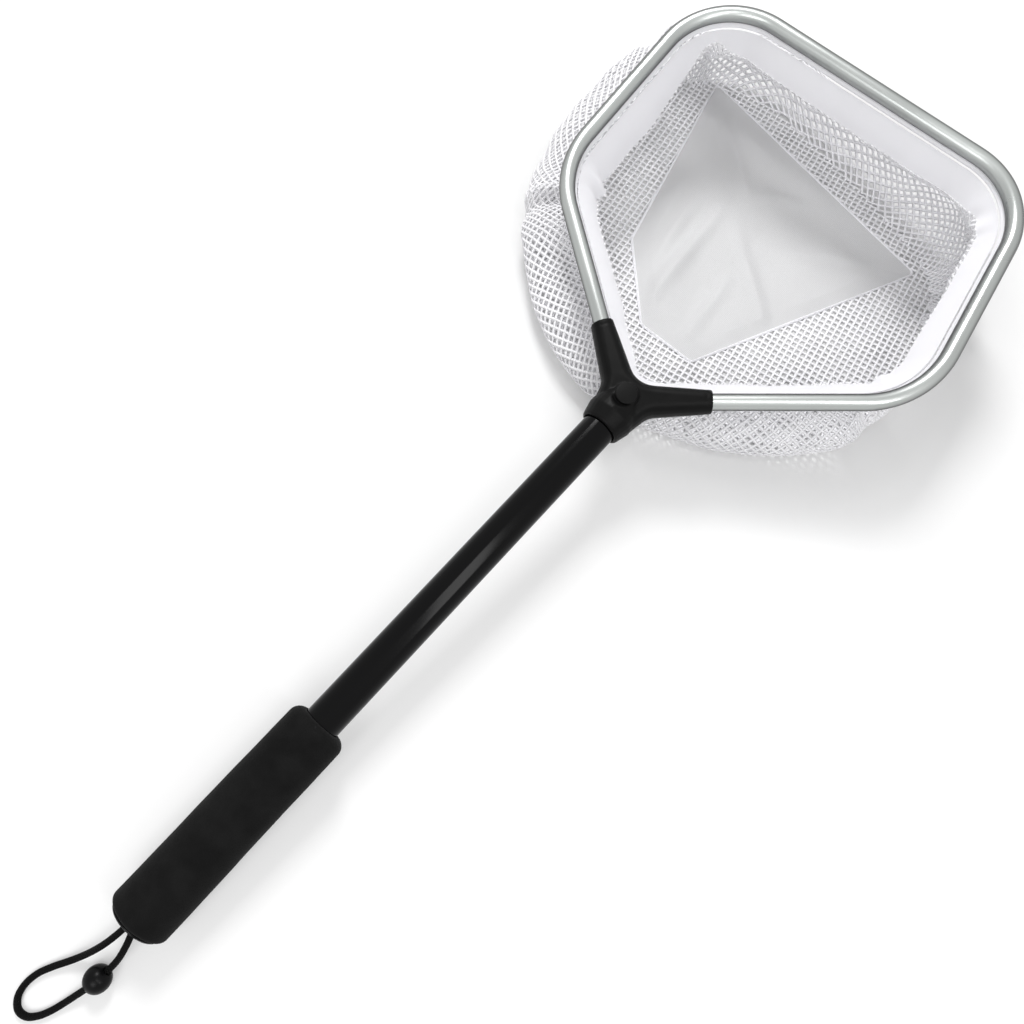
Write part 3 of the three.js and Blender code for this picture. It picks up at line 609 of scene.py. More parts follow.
def weave_group() -> bpy.types.NodeTree:
    """Threads that cross over and under each other, from a piece's own cloth map.

    Returns:
        The shader group.
    """
    bench, given, out = new_group("plain_weave", "ShaderNodeTree", [
        ("Thread Pitch", "IN", VALUE, 0.0006), ("Slant", "IN", VALUE, 0.0),
        ("Height", "OUT", VALUE, None), ("Gap", "OUT", VALUE, None)])
    place = bench.add("ShaderNodeUVMap", uv_map=CLOTH_UV).outputs[0]
    turned = bench.add("ShaderNodeVectorRotate", {"Vector": place, "Angle": given["Slant"]},
                       rotation_type="Z_AXIS").outputs[0]
    xyz = bench.add("ShaderNodeSeparateXYZ", {0: turned})
    rate = bench.math("DIVIDE", math.pi, given["Thread Pitch"])
    x = bench.math("SINE", bench.math("MULTIPLY", xyz.outputs[0], rate))
    y = bench.math("SINE", bench.math("MULTIPLY", xyz.outputs[1], rate))
    height = bench.math("MULTIPLY", x, y)
    gap = bench.math("MULTIPLY", bench.math("ABSOLUTE", x), bench.math("ABSOLUTE", y))
    bench.join(bench.math("ABSOLUTE", height), out["Height"])
    bench.join(gap, out["Gap"])
    return bench.tree


@dataclass(frozen=True)
class Finish:
    """A finish: its plain sockets, the pattern that varies over its surface and, where edge is below 1,
    a painted dark reflection towards grazing angles.
    """

    name: str
    colour: tuple[float, float, float]
    roughness: float
    metallic: float = 0.0
    specular: float = 0.5
    coat: float = 0.0
    coat_roughness: float = 0.08
    sheen: float = 0.0
    sheen_roughness: float = 0.4
    grain_scale: float = 900.0
    stretch: tuple[float, float, float] = (1.0, 1.0, 1.0)
    bump: float = 0.1
    bump_depth: float = 0.0001
    rough_change: float = 0.08
    colour_change: float = 0.1
    # Below 1, the colour is painted darker by this factor towards grazing angles: a painted dark
    # reflection
    edge: float = 1.0
    painted_edge_from: tuple[float, float] = (0.24, 0.80)

    def shader(self) -> tuple[bpy.types.Material, NodeBench, bpy.types.Node]:
        """Starts the material with its plain sockets set.

        Returns:
            The material, its bench and its Principled BSDF.
        """
        material = bpy.data.materials.new(self.name)
        material.use_nodes = True
        bench = NodeBench(material.node_tree)
        principled = material.node_tree.nodes["Principled BSDF"]
        plain = {"Metallic": self.metallic, "Specular IOR Level": self.specular,
                 "Coat Weight": self.coat, "Coat Roughness": self.coat_roughness,
                 "Sheen Weight": self.sheen, "Sheen Roughness": self.sheen_roughness}
        for key, value in plain.items():
            principled.inputs[key].default_value = value
        return material, bench, principled

    def roughen(self, bench: NodeBench, principled: bpy.types.Node, cloud: bpy.types.NodeSocket,
                height: bpy.types.NodeSocket) -> None:
        """Joins a soft mask to the roughness and a height to the bump.

        Args:
            bench: the material's bench.
            principled: its Principled BSDF.
            cloud: the mask.
            height: the height.
        """
        rough = bench.ramp(cloud, 0.3, 0.7, self.roughness - self.rough_change,
                           self.roughness + self.rough_change)
        bench.join(rough, principled.inputs["Roughness"])
        bump = bench.add("ShaderNodeBump", {"Strength": self.bump, "Distance": self.bump_depth,
                                            "Height": height})
        bench.join(bump.outputs[0], principled.inputs["Normal"])

    def shades(self) -> tuple[tuple[float, ...], tuple[float, ...]]:
        """The darkest and lightest colour of the finish.

        Returns:
            The two colours, opaque.
        """
        low = tuple(c * (1 - self.colour_change) for c in self.colour)
        high = tuple(min(c * (1 + self.colour_change), 1.0) for c in self.colour)
        return (*low, 1.0), (*high, 1.0)

    def build(self, groups: dict[str, bpy.types.NodeTree]) -> bpy.types.Material:
        """Makes the material from the fine grain, with a painted dark reflection towards grazing angles
        where edge is below 1.

        Args:
            groups: the shared shader groups by name.

        Returns:
            The material.
        """
        material, bench, principled = self.shader()
        grain = bench.add("ShaderNodeGroup", node_tree=groups["grain"])
        bench.join(self.grain_scale, grain.inputs["Scale"])
        bench.join(self.stretch, grain.inputs["Stretch"])
        low, high = self.shades()
        cloud = grain.outputs["Cloud"]
        colour = bench.mix_colour(bench.ramp(cloud, 0.35, 0.65, 0, 1), low, high)
        # Painted dark reflection: towards grazing angles the base colour is mixed towards the colour
        # times edge
        if self.edge < 1:
            grazing = bench.add("ShaderNodeLayerWeight", {"Blend": 0.5}).outputs["Facing"]
            painted_edge_colour = tuple(c * self.edge for c in self.colour)
            mask = bench.ramp(grazing, *self.painted_edge_from, 0, 1, Ramp.SMOOTH)
            colour = bench.mix_colour(mask, colour, (*painted_edge_colour, 1))
        bench.join(colour, principled.inputs["Base Color"])
        self.roughen(bench, principled, cloud, grain.outputs["Height"])
        return material


@dataclass(frozen=True)
class Woven(Finish):
    """A finish whose threads follow the piece's own cloth map."""

    pitch: float = 0.0006
    slant: float = 0.0
    openness: float = 0.0

    def build(self, groups: dict[str, bpy.types.NodeTree]) -> bpy.types.Material:
        """Makes the material from the weave, with painted shading in the gaps between the threads and
        open gaps if it has any.

        Args:
            groups: the shared shader groups by name.

        Returns:
            The material.
        """
        material, bench, principled = self.shader()
        weave = bench.add("ShaderNodeGroup", node_tree=groups["weave"])
        bench.join(self.pitch, weave.inputs["Thread Pitch"])
        bench.join(self.slant, weave.inputs["Slant"])
        grain = bench.add("ShaderNodeGroup", node_tree=groups["grain"])
        bench.join(self.grain_scale, grain.inputs["Scale"])
        low, high = self.shades()
        # Painted shading: the colour is darker where the weave dips between the threads; the grain
        # cloud adds random tone
        thread = bench.ramp(weave.outputs["Height"], 0.0, 0.8, 0, 1, Ramp.SMOOTH)
        shade = bench.math("ADD", bench.math("MULTIPLY", thread, 0.6),
                           bench.math("MULTIPLY", grain.outputs["Cloud"], 0.4))
        bench.join(bench.mix_colour(shade, low, high), principled.inputs["Base Color"])
        self.roughen(bench, principled, grain.outputs["Cloud"], weave.outputs["Height"])
        if self.openness > 0:
            alpha = bench.ramp(weave.outputs["Gap"], 1 - self.openness, 1.0, 1.0, 0.25, Ramp.SMOOTH)
            bench.join(alpha, principled.inputs["Alpha"])
        return material


FINISHES: dict[str, Finish] = {
    "anodised": Finish("anodised_black_tube", (0.0018, 0.0018, 0.0020), 0.15, specular=0.11,
                       grain_scale=500, stretch=(1, 0.02, 1), bump=0.12, bump_depth=0.00004,
                       rough_change=0.04),
    "foam": Finish("foam_rubber", (0.0062, 0.0062, 0.0062), 0.9, specular=0.10, sheen=0.03,
                   grain_scale=1300, bump=0.8, bump_depth=0.0003, colour_change=0.45),
    "gloss": Finish("gloss_black_plastic", (0.0025, 0.0025, 0.0028), 0.30, specular=0.10,
                    grain_scale=300, bump=0.03, bump_depth=0.00005, rough_change=0.04),
    "moulding": Finish("satin_black_moulding", (0.0030, 0.0030, 0.0030), 0.42, specular=0.09,
                       grain_scale=1500, bump=0.18, bump_depth=0.00006, rough_change=0.06),
    "steel": Finish("fastener_steel", (0.42, 0.43, 0.44), 0.34, metallic=1.0, grain_scale=700,
                    bump=0.1, bump_depth=0.00003),
    # The aluminium's edge of 0.08 paints a dark reflection along the hoop's edges
    "aluminium": Finish("satin_aluminium", (0.42, 0.438, 0.428), 0.30, metallic=1.0, grain_scale=260,
                        bump=0.06, bump_depth=0.00004, rough_change=0.05, colour_change=0.05,
                        edge=0.08),
    "cord": Woven("braided_cord", (0.0022, 0.0022, 0.0022), 0.62, specular=0.08, bump=0.9,
                  bump_depth=0.00035, colour_change=0.4, pitch=0.0011, slant=math.radians(38)),
    "fabric": Woven("white_woven_band", (0.91, 0.905, 0.935), 0.7, specular=0.3, sheen=0.2,
                    grain_scale=60, bump=0.35, bump_depth=0.00012, colour_change=0.03, pitch=0.0007),
    "yarn": Finish("white_net_yarn", (0.955, 0.95, 0.975), 0.72, specular=0.3, sheen=0.2,
                   grain_scale=1100, bump=0.3, bump_depth=0.00012, colour_change=0.03),
    "gauze": Woven("fine_gauze", (0.64, 0.64, 0.645), 0.65, specular=0.3, sheen=0.2, grain_scale=50,
                   bump=0.4, bump_depth=0.00012, colour_change=0.05, pitch=0.0009, openness=0.2),
}


@dataclass
class Workshop:
    """The finishes and trees that the sub-assemblies share."""

    materials: dict[str, bpy.types.Material]
    netting: bpy.types.NodeTree
    stitches: bpy.types.NodeTree

    @classmethod
    def open(cls) -> "Workshop":
        """Builds each shared group, tree and finish once.

        Returns:
            The workshop.
        """
        groups = {"grain": grain_group(), "weave": weave_group()}
        materials = {key: finish.build(groups) for key, finish in FINISHES.items()}
        return cls(materials, netting_tree(), stitch_tree())


@dataclass
class Handle:
    """The handle: tube, foam grip, end cap and the knot of the wrist cord inside it."""

    lie: Lie
    shop: Workshop
    tube_radius: float = 0.009525
    tube_wall: float = 0.0012
    reach: float = 0.340
    tube_end: float = -0.0035
    grip_radius: float = 0.015875
    grip_length: float = 0.115
    grip_top_round: float = 0.0055
    grip_end_round: float = 0.0025
    foam_wave: float = 0.00012
    cap_radius: float = 0.0134
    cap_rim: float = 0.0012
    cap_dome: float = 0.0020
    plug_length: float = 0.013
    hole_radius: float = 0.0037
    knot_radius: float = 0.006
    steps: int = 96

    def tube(self) -> bpy.types.Object:
        """The black tube, with its ends eased.

        Returns:
            The piece.
        """
        low, high, ease = -self.reach, self.tube_end, 0.0003
        inner = self.tube_radius - self.tube_wall
        profile = [(inner, low), (self.tube_radius - ease, low), (self.tube_radius, low + ease),
                   (self.tube_radius, high - ease), (self.tube_radius - ease, high), (inner, high)]
        part = revolve(profile, self.steps).moved(self.lie.handle())
        return make_piece("handle_tube_skin", part, self.shop.materials["anodised"])

    def grip(self) -> bpy.types.Object:
        """The foam sleeve, a little uneven as foam is.

        Returns:
            The piece.
        """
        bore = self.tube_radius + SEAT_GAP
        low, high = -self.reach, -self.reach + self.grip_length
        end, top, r = self.grip_end_round, self.grip_top_round, self.grip_radius
        side = [(r, y) for y in np.linspace(low + end, high - top, 40)[1:-1]]
        profile = [(bore, low), *rounded((r - end, low + end), end, -90, 0), *side,
                   *rounded((r - top, high - top), top, 0, 90), (bore, high)]
        part = revolve(profile, self.steps)
        radius = np.hypot(part.vertices[:, 0], part.vertices[:, 2])
        angle = np.arctan2(part.vertices[:, 2], part.vertices[:, 0]) / (2 * math.pi)
        soft = wave_noise(angle, part.vertices[:, 1] * 18, waves=9, seed=4, high=5) * self.foam_wave
        scale = np.where(radius > bore * 1.05, 1 + soft / np.maximum(radius, 1e-6), 1.0)
        part.vertices[:, 0] *= scale
        part.vertices[:, 2] *= scale
        return make_piece("foam_grip_skin", part.moved(self.lie.handle()), self.shop.materials["foam"])

    def cap(self) -> bpy.types.Object:
        """The domed cap with the hole for the cord.

        Returns:
            The piece.
        """
        seat = -self.reach - SEAT_GAP
        plug = self.tube_radius - self.tube_wall - SEAT_GAP
        hole, rim = self.hole_radius, self.cap_radius
        dome = []
        for i in range(15):
            r = rim - (rim - hole - 0.0006) * i / 14
            dome.append((r, seat - self.cap_rim - self.cap_dome * (1 - (r / rim) ** 2)))
        deepest = dome[-1][1]
        profile = [(hole, seat + self.plug_length), (plug - 0.001, seat + self.plug_length),
                   (plug, seat + self.plug_length - 0.002), (plug, seat), (rim - 0.0003, seat),
                   (rim, seat - 0.0003), (rim, dome[0][1] + 0.0004),
                   *dome[1:], (hole + 0.0002, deepest + 0.00015), (hole, deepest + 0.0006)]
        part = revolve(profile, self.steps).moved(self.lie.handle())
        return make_piece("end_cap_skin", part, self.shop.materials["gloss"], 30)

    def knot(self) -> bpy.types.Object:
        """The knot: a lumpy ball of cord behind the cap's plug.

        Returns:
            The piece.
        """
        low = -self.reach - SEAT_GAP + self.plug_length + SEAT_GAP
        r = self.knot_radius
        profile = [(0.0, -r), *rounded((0, 0), r, -84, 84, 20), (0.0, r)]
        part = revolve(profile, 36)
        turns = np.arctan2(part.vertices[:, 2], part.vertices[:, 0])
        swell = 1 - 0.06 * (1 + np.sin(3 * turns + part.vertices[:, 1] * 900))
        part.vertices *= swell[:, None]
        part.vertices[:, 1] += low + r
        return make_piece("cord_knot_skin", part.moved(self.lie.handle()), self.shop.materials["cord"])

    def build(self) -> None:
        """Makes the handle's pieces."""
        settle(self.tube(), "anodised_black", "handle_tube")
        settle(self.grip(), "foam", "foam_grip")
        settle(self.cap(), "gloss_black", "end_cap")
        settle(self.knot(), "cord_black", "cord_knot")


@dataclass
class WristCord:
    """The elastic loop at the end of the handle, with the bead that slides on it."""

    shop: Workshop
    radius: float = 0.0016
    sides: int = 20
    bead_radius: float = 0.00625
    bore_radius: float = 0.0018
    bead_at: tuple[float, float, float] = (0.0041, -0.5191, 0.0064)
    bead_along: tuple[float, float, float] = (0.15, 0.95, 0.27)

    ROUTE = (
        (-0.00175, -0.4766, 0.01666), (-0.00175, -0.4847, 0.01596), (-0.00175, -0.4926, 0.01525),
        (-0.0022, -0.4980, 0.0141), (-0.0040, -0.5066, 0.0108), (-0.0070, -0.5150, 0.0066),
        (-0.0112, -0.5235, 0.0032), (-0.0153, -0.5306, 0.00195), (-0.0182, -0.5370, 0.0017),
        (-0.0189, -0.5430, 0.00165), (-0.0172, -0.5482, 0.00165), (-0.0130, -0.5512, 0.00165),
        (-0.0082, -0.5506, 0.00165), (-0.0046, -0.5472, 0.00165), (-0.0020, -0.5424, 0.0017),
        (-0.0001, -0.5368, 0.0022), (0.0015, -0.5312, 0.0032), (0.00312, -0.52528, 0.00464),
        (0.0041, -0.5191, 0.0064), (0.00508, -0.51292, 0.00816), (0.0053, -0.5064, 0.0107),
        (0.0040, -0.4994, 0.0135), (0.00175, -0.4926, 0.01525), (0.00175, -0.4847, 0.01596),
        (0.00175, -0.4766, 0.01666),
    )

    def line(self) -> np.ndarray:
        """The cord's centreline: a smooth curve through the points of its route.

        Returns:
            The line's points.
        """
        knots = np.array(self.ROUTE)
        ends = np.vstack([2 * knots[0] - knots[1], knots, 2 * knots[-1] - knots[-2]])
        gaps = np.sqrt(np.linalg.norm(np.diff(ends, axis=0), axis=1))
        times = np.append(0, np.cumsum(gaps))
        points = []
        for i in range(1, len(ends) - 2):
            for t in np.linspace(times[i], times[i + 1], 9)[:-1]:
                points.append(self.between(ends[i - 1:i + 3], times[i - 1:i + 3], t))
        points.append(knots[-1])
        return np.array(points)

    @staticmethod
    def between(p: np.ndarray, t: np.ndarray, at: float) -> np.ndarray:
        """A point of the curve between the middle two of four points.

        Args:
            p: the four points.
            t: the four times at which the curve passes them.
            at: the time of the point.

        Returns:
            The point.
        """
        a = [((t[i + 1] - at) * p[i] + (at - t[i]) * p[i + 1]) / (t[i + 1] - t[i]) for i in range(3)]
        b = [((t[i + 2] - at) * a[i] + (at - t[i]) * a[i + 1]) / (t[i + 2] - t[i]) for i in range(2)]
        return ((t[2] - at) * b[0] + (at - t[1]) * b[1]) / (t[2] - t[1])

    def cord(self) -> tuple[bpy.types.Object, np.ndarray]:
        """The cord's tube and its centreline.

        Returns:
            The piece and the line.
        """
        line = self.line()
        tangents = unit(np.gradient(line, axis=0))
        sides, normal = [], np.array([0.0, 0.0, 1.0])
        for tangent in tangents:
            normal = unit(normal - tangent * float(normal @ tangent))
            sides.append(normal)
        first = np.array(sides)
        second = np.cross(tangents, first)
        angles = np.linspace(0, 2 * math.pi, self.sides, endpoint=False)
        section = self.radius * np.stack([np.cos(angles), np.sin(angles)], axis=1)
        part = sweep(section, line, first, second)
        return make_piece("wrist_cord_skin", part, self.shop.materials["cord"], 60), line

    def bead(self) -> bpy.types.Object:
        """The bead, with the edges of its bore eased.

        Returns:
            The piece.
        """
        r, bore = self.bead_radius, self.bore_radius
        lift = math.degrees(math.acos((bore + 0.0005) / r))
        end = r * math.sin(math.radians(lift))
        profile = [(bore, -end + 0.0004), *rounded((0, 0), r, -lift, lift, 40), (bore, end - 0.0004)]
        turn = Vector((0, 1, 0)).rotation_difference(Vector(self.bead_along).normalized())
        matrix = Matrix.Translation(self.bead_at) @ turn.to_matrix().to_4x4()
        return make_piece("cord_bead_skin", revolve(profile, 64).moved(matrix),
                          self.shop.materials["gloss"])

    def build(self) -> None:
        cord, line = self.cord()
        bead = self.bead()
        settle(cord, "cord_black", "wrist_cord")
        settle(bead, "gloss_black", "cord_bead")


@dataclass
class Yoke:
    """The moulded yoke with its boss cap, screw and rivets."""

    lie: Lie
    shop: Workshop
    voxel: float = 0.00055
    smoothing: int = 6
    boss_radius: float = 0.00625
    boss_seat: float = 0.0110
    boss_height: float = 0.0010
    boss_stem_radius: float = 0.0018
    boss_stem_length: float = 0.0045

    def moulding(self) -> bpy.types.Object:
        """The yoke's body: its solid remeshed finely, so that its edges run into each other.

        Returns:
            The piece.
        """
        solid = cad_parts["yoke"]
        mesh = solid.data.copy()
        work = bmesh.new()
        work.from_mesh(mesh)
        bmesh.ops.remove_doubles(work, verts=work.verts, dist=1e-6)
        work.to_mesh(mesh)
        work.free()
        piece = linked("yoke_skin", mesh)
        remesh = piece.modifiers.new("fine", "REMESH")
        remesh.mode = "VOXEL"
        remesh.voxel_size = self.voxel
        smooth = piece.modifiers.new("ease", "SMOOTH")
        smooth.factor = 0.5
        smooth.iterations = self.smoothing
        graph = bpy.context.evaluated_depsgraph_get()
        fine = bpy.data.meshes.new_from_object(piece.evaluated_get(graph), depsgraph=graph)
        piece.modifiers.clear()
        piece.data = fine
        fine.materials.clear()
        fine.materials.append(self.shop.materials["moulding"])
        fine.shade_smooth()
        return piece

    def boss_cap(self) -> bpy.types.Object:
        """The round cap on the crossing.

        Returns:
            The piece.
        """
        low, r, stem = self.boss_seat + SEAT_GAP, self.boss_radius, self.boss_stem_radius
        top = low + self.boss_height
        foot = self.boss_seat - self.boss_stem_length
        profile = [(0.0, foot), (stem, foot), (stem, low), (r - 0.0002, low), (r, low + 0.0002),
                   *rounded((r - 0.0008, top - 0.0008), 0.0008, 0, 90), (r - 0.003, top + 0.0001),
                   (0.0, top + 0.0002)]
        part = revolve(profile, 80).moved(self.lie.handle() @ Matrix.Rotation(math.pi / 2, 4, "X"))
        return make_piece("boss_cap_skin", part, self.shop.materials["moulding"], 50)

    def build(self) -> None:
        """Makes the yoke's pieces and gives its fasteners their finish."""
        settle(self.moulding(), "moulding_black", "yoke")
        settle(self.boss_cap(), "moulding_black", "boss_cap")
        for name in ("handle_screw", "hoop_rivet_left", "hoop_rivet_right"):
            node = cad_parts[name]
            node.data.materials.clear()
            node.data.materials.append(self.shop.materials["steel"])


@dataclass
class Hoop:
    """The slotted aluminium hoop, and the welted hem that runs in its slot."""

    lie: Lie
    shop: Workshop
    arm_angle: float = math.radians(52.2)
    radius: float = 0.0046
    wall: float = 0.0012
    slot: float = 0.0024
    droop: float = math.radians(35)
    left_run: float = 0.1454
    right_run: float = 0.1571
    far_left: tuple[float, float] = (-0.1145, 0.2375)
    far_right: tuple[float, float] = (0.105, 0.233)
    shoulder_round: float = 0.054
    far_round: float = 0.0445
    socket_start: float = 0.014
    arm_length: float = 0.0465
    welt_radius: float = 0.0026
    web: float = 0.0012
    web_reach: float = 0.0068
    bend_steps: int = 36

    def arm(self, side: Side, run: float) -> np.ndarray:
        """The point at a distance along one arm's line from the crossing."""
        return run * np.array([side.value * math.sin(self.arm_angle), math.cos(self.arm_angle)])

    def corners(self) -> list[np.ndarray]:
        """The hoop's corners, from the right shoulder round to the left one."""
        return [self.arm(Side.RIGHT, self.right_run), np.array(self.far_right),
                np.array(self.far_left), self.arm(Side.LEFT, self.left_run)]

    def bend_radii(self) -> list[float]:
        """The radius of each bend, in the order of the corners."""
        return [self.shoulder_round, self.far_round, self.far_round, self.shoulder_round]

    def path(self, start: float) -> tuple[np.ndarray, np.ndarray]:
        """The hoop's centreline in its own plane.

        Args:
            start: how far along each arm it starts and ends.

        Returns:
            The points, and the direction of travel at each.
        """
        line = [self.arm(Side.RIGHT, start), *self.corners(), self.arm(Side.LEFT, start)]
        points, ways = [line[0]], [line[1] - line[0]]
        for i, radius in enumerate(self.bend_radii(), start=1):
            bend = bent(line[i - 1], line[i], line[i + 1], radius, self.bend_steps)
            points += bend[0]
            ways += bend[1]
        points.append(line[-1])
        ways.append(line[-1] - line[-2])
        return np.array(points), unit(np.array(ways))

    def run(self, section: np.ndarray, start: float) -> Part:
        """Sweeps a section round the hoop.

        Args:
            section: points as (down, towards the hoop's middle).
            start: how far along each arm it starts and ends.

        Returns:
            The part in the model's frame.
        """
        flat, ways = self.path(start)
        places = np.column_stack([flat, np.zeros(len(flat))])
        down = np.tile(DOWN, (len(flat), 1))
        inward = np.column_stack([-ways[:, 1], ways[:, 0], np.zeros(len(flat))])
        return sweep(section, places, down, inward).moved(self.lie.head())

    def slotwise(self, along: np.ndarray, across: np.ndarray) -> np.ndarray:
        """Turns points along and across the slot into (down, inward) points of a section."""
        return np.stack([along * math.sin(self.droop) + across * math.cos(self.droop),
                         along * math.cos(self.droop) - across * math.sin(self.droop)], axis=-1)

    def tube(self) -> bpy.types.Object:
        """The slotted tube, with rounded lips.

        Returns:
            The piece.
        """
        outer = self.open_arc(self.radius, 56)
        inner = self.open_arc(self.radius - self.wall, 40)[::-1]
        middle = self.radius - self.wall / 2
        lips = []
        for sign in (1, -1):
            turns = np.radians(np.linspace(-60, 60, 5))
            along = middle * math.cos(math.asin(self.slot / 2 / middle)) + self.wall / 2 * np.sin(turns)
            across = sign * (self.slot / 2 - 0.0003 * np.cos(turns))
            lips.append(self.slotwise(along, across))
        section = np.concatenate([lips[0], outer, lips[1][::-1], inner])
        return make_piece("hoop_skin", self.run(section, self.socket_start + SEAT_GAP),
                          self.shop.materials["aluminium"], 50)

    def open_arc(self, radius: float, steps: int) -> np.ndarray:
        """Points of the section's arc from one side of the slot round to the other.

        Args:
            radius: the arc's radius.
            steps: how many points it has.

        Returns:
            The points as (down, inward).
        """
        half = math.asin(self.slot / 2 / radius) + 0.06
        angles = np.linspace(half, 2 * math.pi - half, steps)
        return self.slotwise(radius * np.cos(angles), radius * np.sin(angles))

    def hem(self) -> bpy.types.Object:
        """The round welt inside the tube and its web that comes out of the slot.

        Returns:
            The piece.
        """
        half = math.asin(self.web / 2 / self.welt_radius)
        angles = np.linspace(half, 2 * math.pi - half, 26)
        bead = self.slotwise(self.welt_radius * np.cos(angles), self.welt_radius * np.sin(angles))
        turns = np.radians(np.linspace(-90, 90, 7))
        edge = self.slotwise(self.web_reach - self.web / 2 + self.web / 2 * np.cos(turns),
                             self.web / 2 * np.sin(turns))
        section = np.concatenate([bead, edge])
        return make_piece("welted_hem_skin", self.run(section, self.arm_length + SEAT_GAP),
                          self.shop.materials["fabric"], 60)

    def build(self) -> None:
        """Makes the hoop and the hem."""
        settle(self.tube(), "satin_aluminium", "hoop")
        settle(self.hem(), "white_fabric", "welted_hem")


def bent(before: np.ndarray, corner: np.ndarray, after: np.ndarray, radius: float, steps: int
         ) -> tuple[list[np.ndarray], list[np.ndarray]]:
    """The arc that rounds a corner of a flat line.

    Args:
        before: the line's point before the corner.
        corner: the corner.
        after: the line's point after it.
        radius: the arc's radius, made smaller where the straights are short.
        steps: how many steps the arc has.

    Returns:
        The arc's points, and the direction of travel at each.
    """
    back, on = before - corner, after - corner
    half = math.acos(float(unit(back) @ unit(on))) / 2
    run = min(radius / math.tan(half), 0.48 * min(np.linalg.norm(back), np.linalg.norm(on)))
    turn = run * math.tan(half)
    centre = corner + unit(unit(back) + unit(on)) * turn / math.sin(half)
    start, end = corner + unit(back) * run - centre, corner + unit(on) * run - centre
    low = math.atan2(start[1], start[0])
    sweep_angle = (math.atan2(end[1], end[0]) - low + math.pi) % (2 * math.pi) - math.pi
    angles = low + sweep_angle * np.linspace(0, 1, steps + 1)
    points = [centre + turn * np.array([math.cos(a), math.sin(a)]) for a in angles]
    sign = math.copysign(1, sweep_angle)
    ways = [sign * np.array([-math.sin(a), math.cos(a)]) for a in angles]
    return points, ways


def rounded_outline(corners: Sequence[np.ndarray], radii: Sequence[float], steps: int) -> np.ndarray:
    """A closed outline with rounded corners.

    Args:
        corners: the corners in order.
        radii: the radius at each.
        steps: how many steps each arc has.

    Returns:
        The outline's points.
    """
    count = len(corners)
    points: list[np.ndarray] = []
    for i, radius in enumerate(radii):
        points += bent(corners[i - 1], corners[i], corners[(i + 1) % count], radius, steps)[0]
    return np.array(points)


def spaced(outline: np.ndarray, count: int) -> np.ndarray:
    """Evenly spaced points round a closed outline, from its first point.

    Args:
        outline: the outline's points.
        count: how many points there will be.

    Returns:
        The points.
    """
    closed = np.vstack([outline, outline[:1]])
    reach = np.append(0, np.cumsum(np.linalg.norm(np.diff(closed, axis=0), axis=1)))
    at = np.linspace(0, reach[-1], count, endpoint=False)
    return np.stack([np.interp(at, reach, closed[:, k]) for k in range(closed.shape[1])], axis=1)


def ray_to(outline: np.ndarray, centre: np.ndarray, angles: np.ndarray) -> np.ndarray:
    """Where rays from a centre leave a closed outline.

    Args:
        outline: the outline's points.
        centre: where the rays start.
        angles: the rays' angles.

    Returns:
        One point per ray.
    """
    to, edge = outline - centre, np.roll(outline, -1, axis=0) - outline
    found = []
    for angle in angles:
        way = np.array([math.cos(angle), math.sin(angle)])
        across = way[0] * edge[:, 1] - way[1] * edge[:, 0]
        across = np.where(np.abs(across) < 1e-12, 1e-12, across)
        share = (to[:, 0] * way[1] - to[:, 1] * way[0]) / across
        distance = (to[:, 0] * edge[:, 1] - to[:, 1] * edge[:, 0]) / across
        hits = (share >= -1e-9) & (share <= 1 + 1e-9) & (distance > 0)
        found.append(centre + way * distance[hits].max())
    return np.array(found)


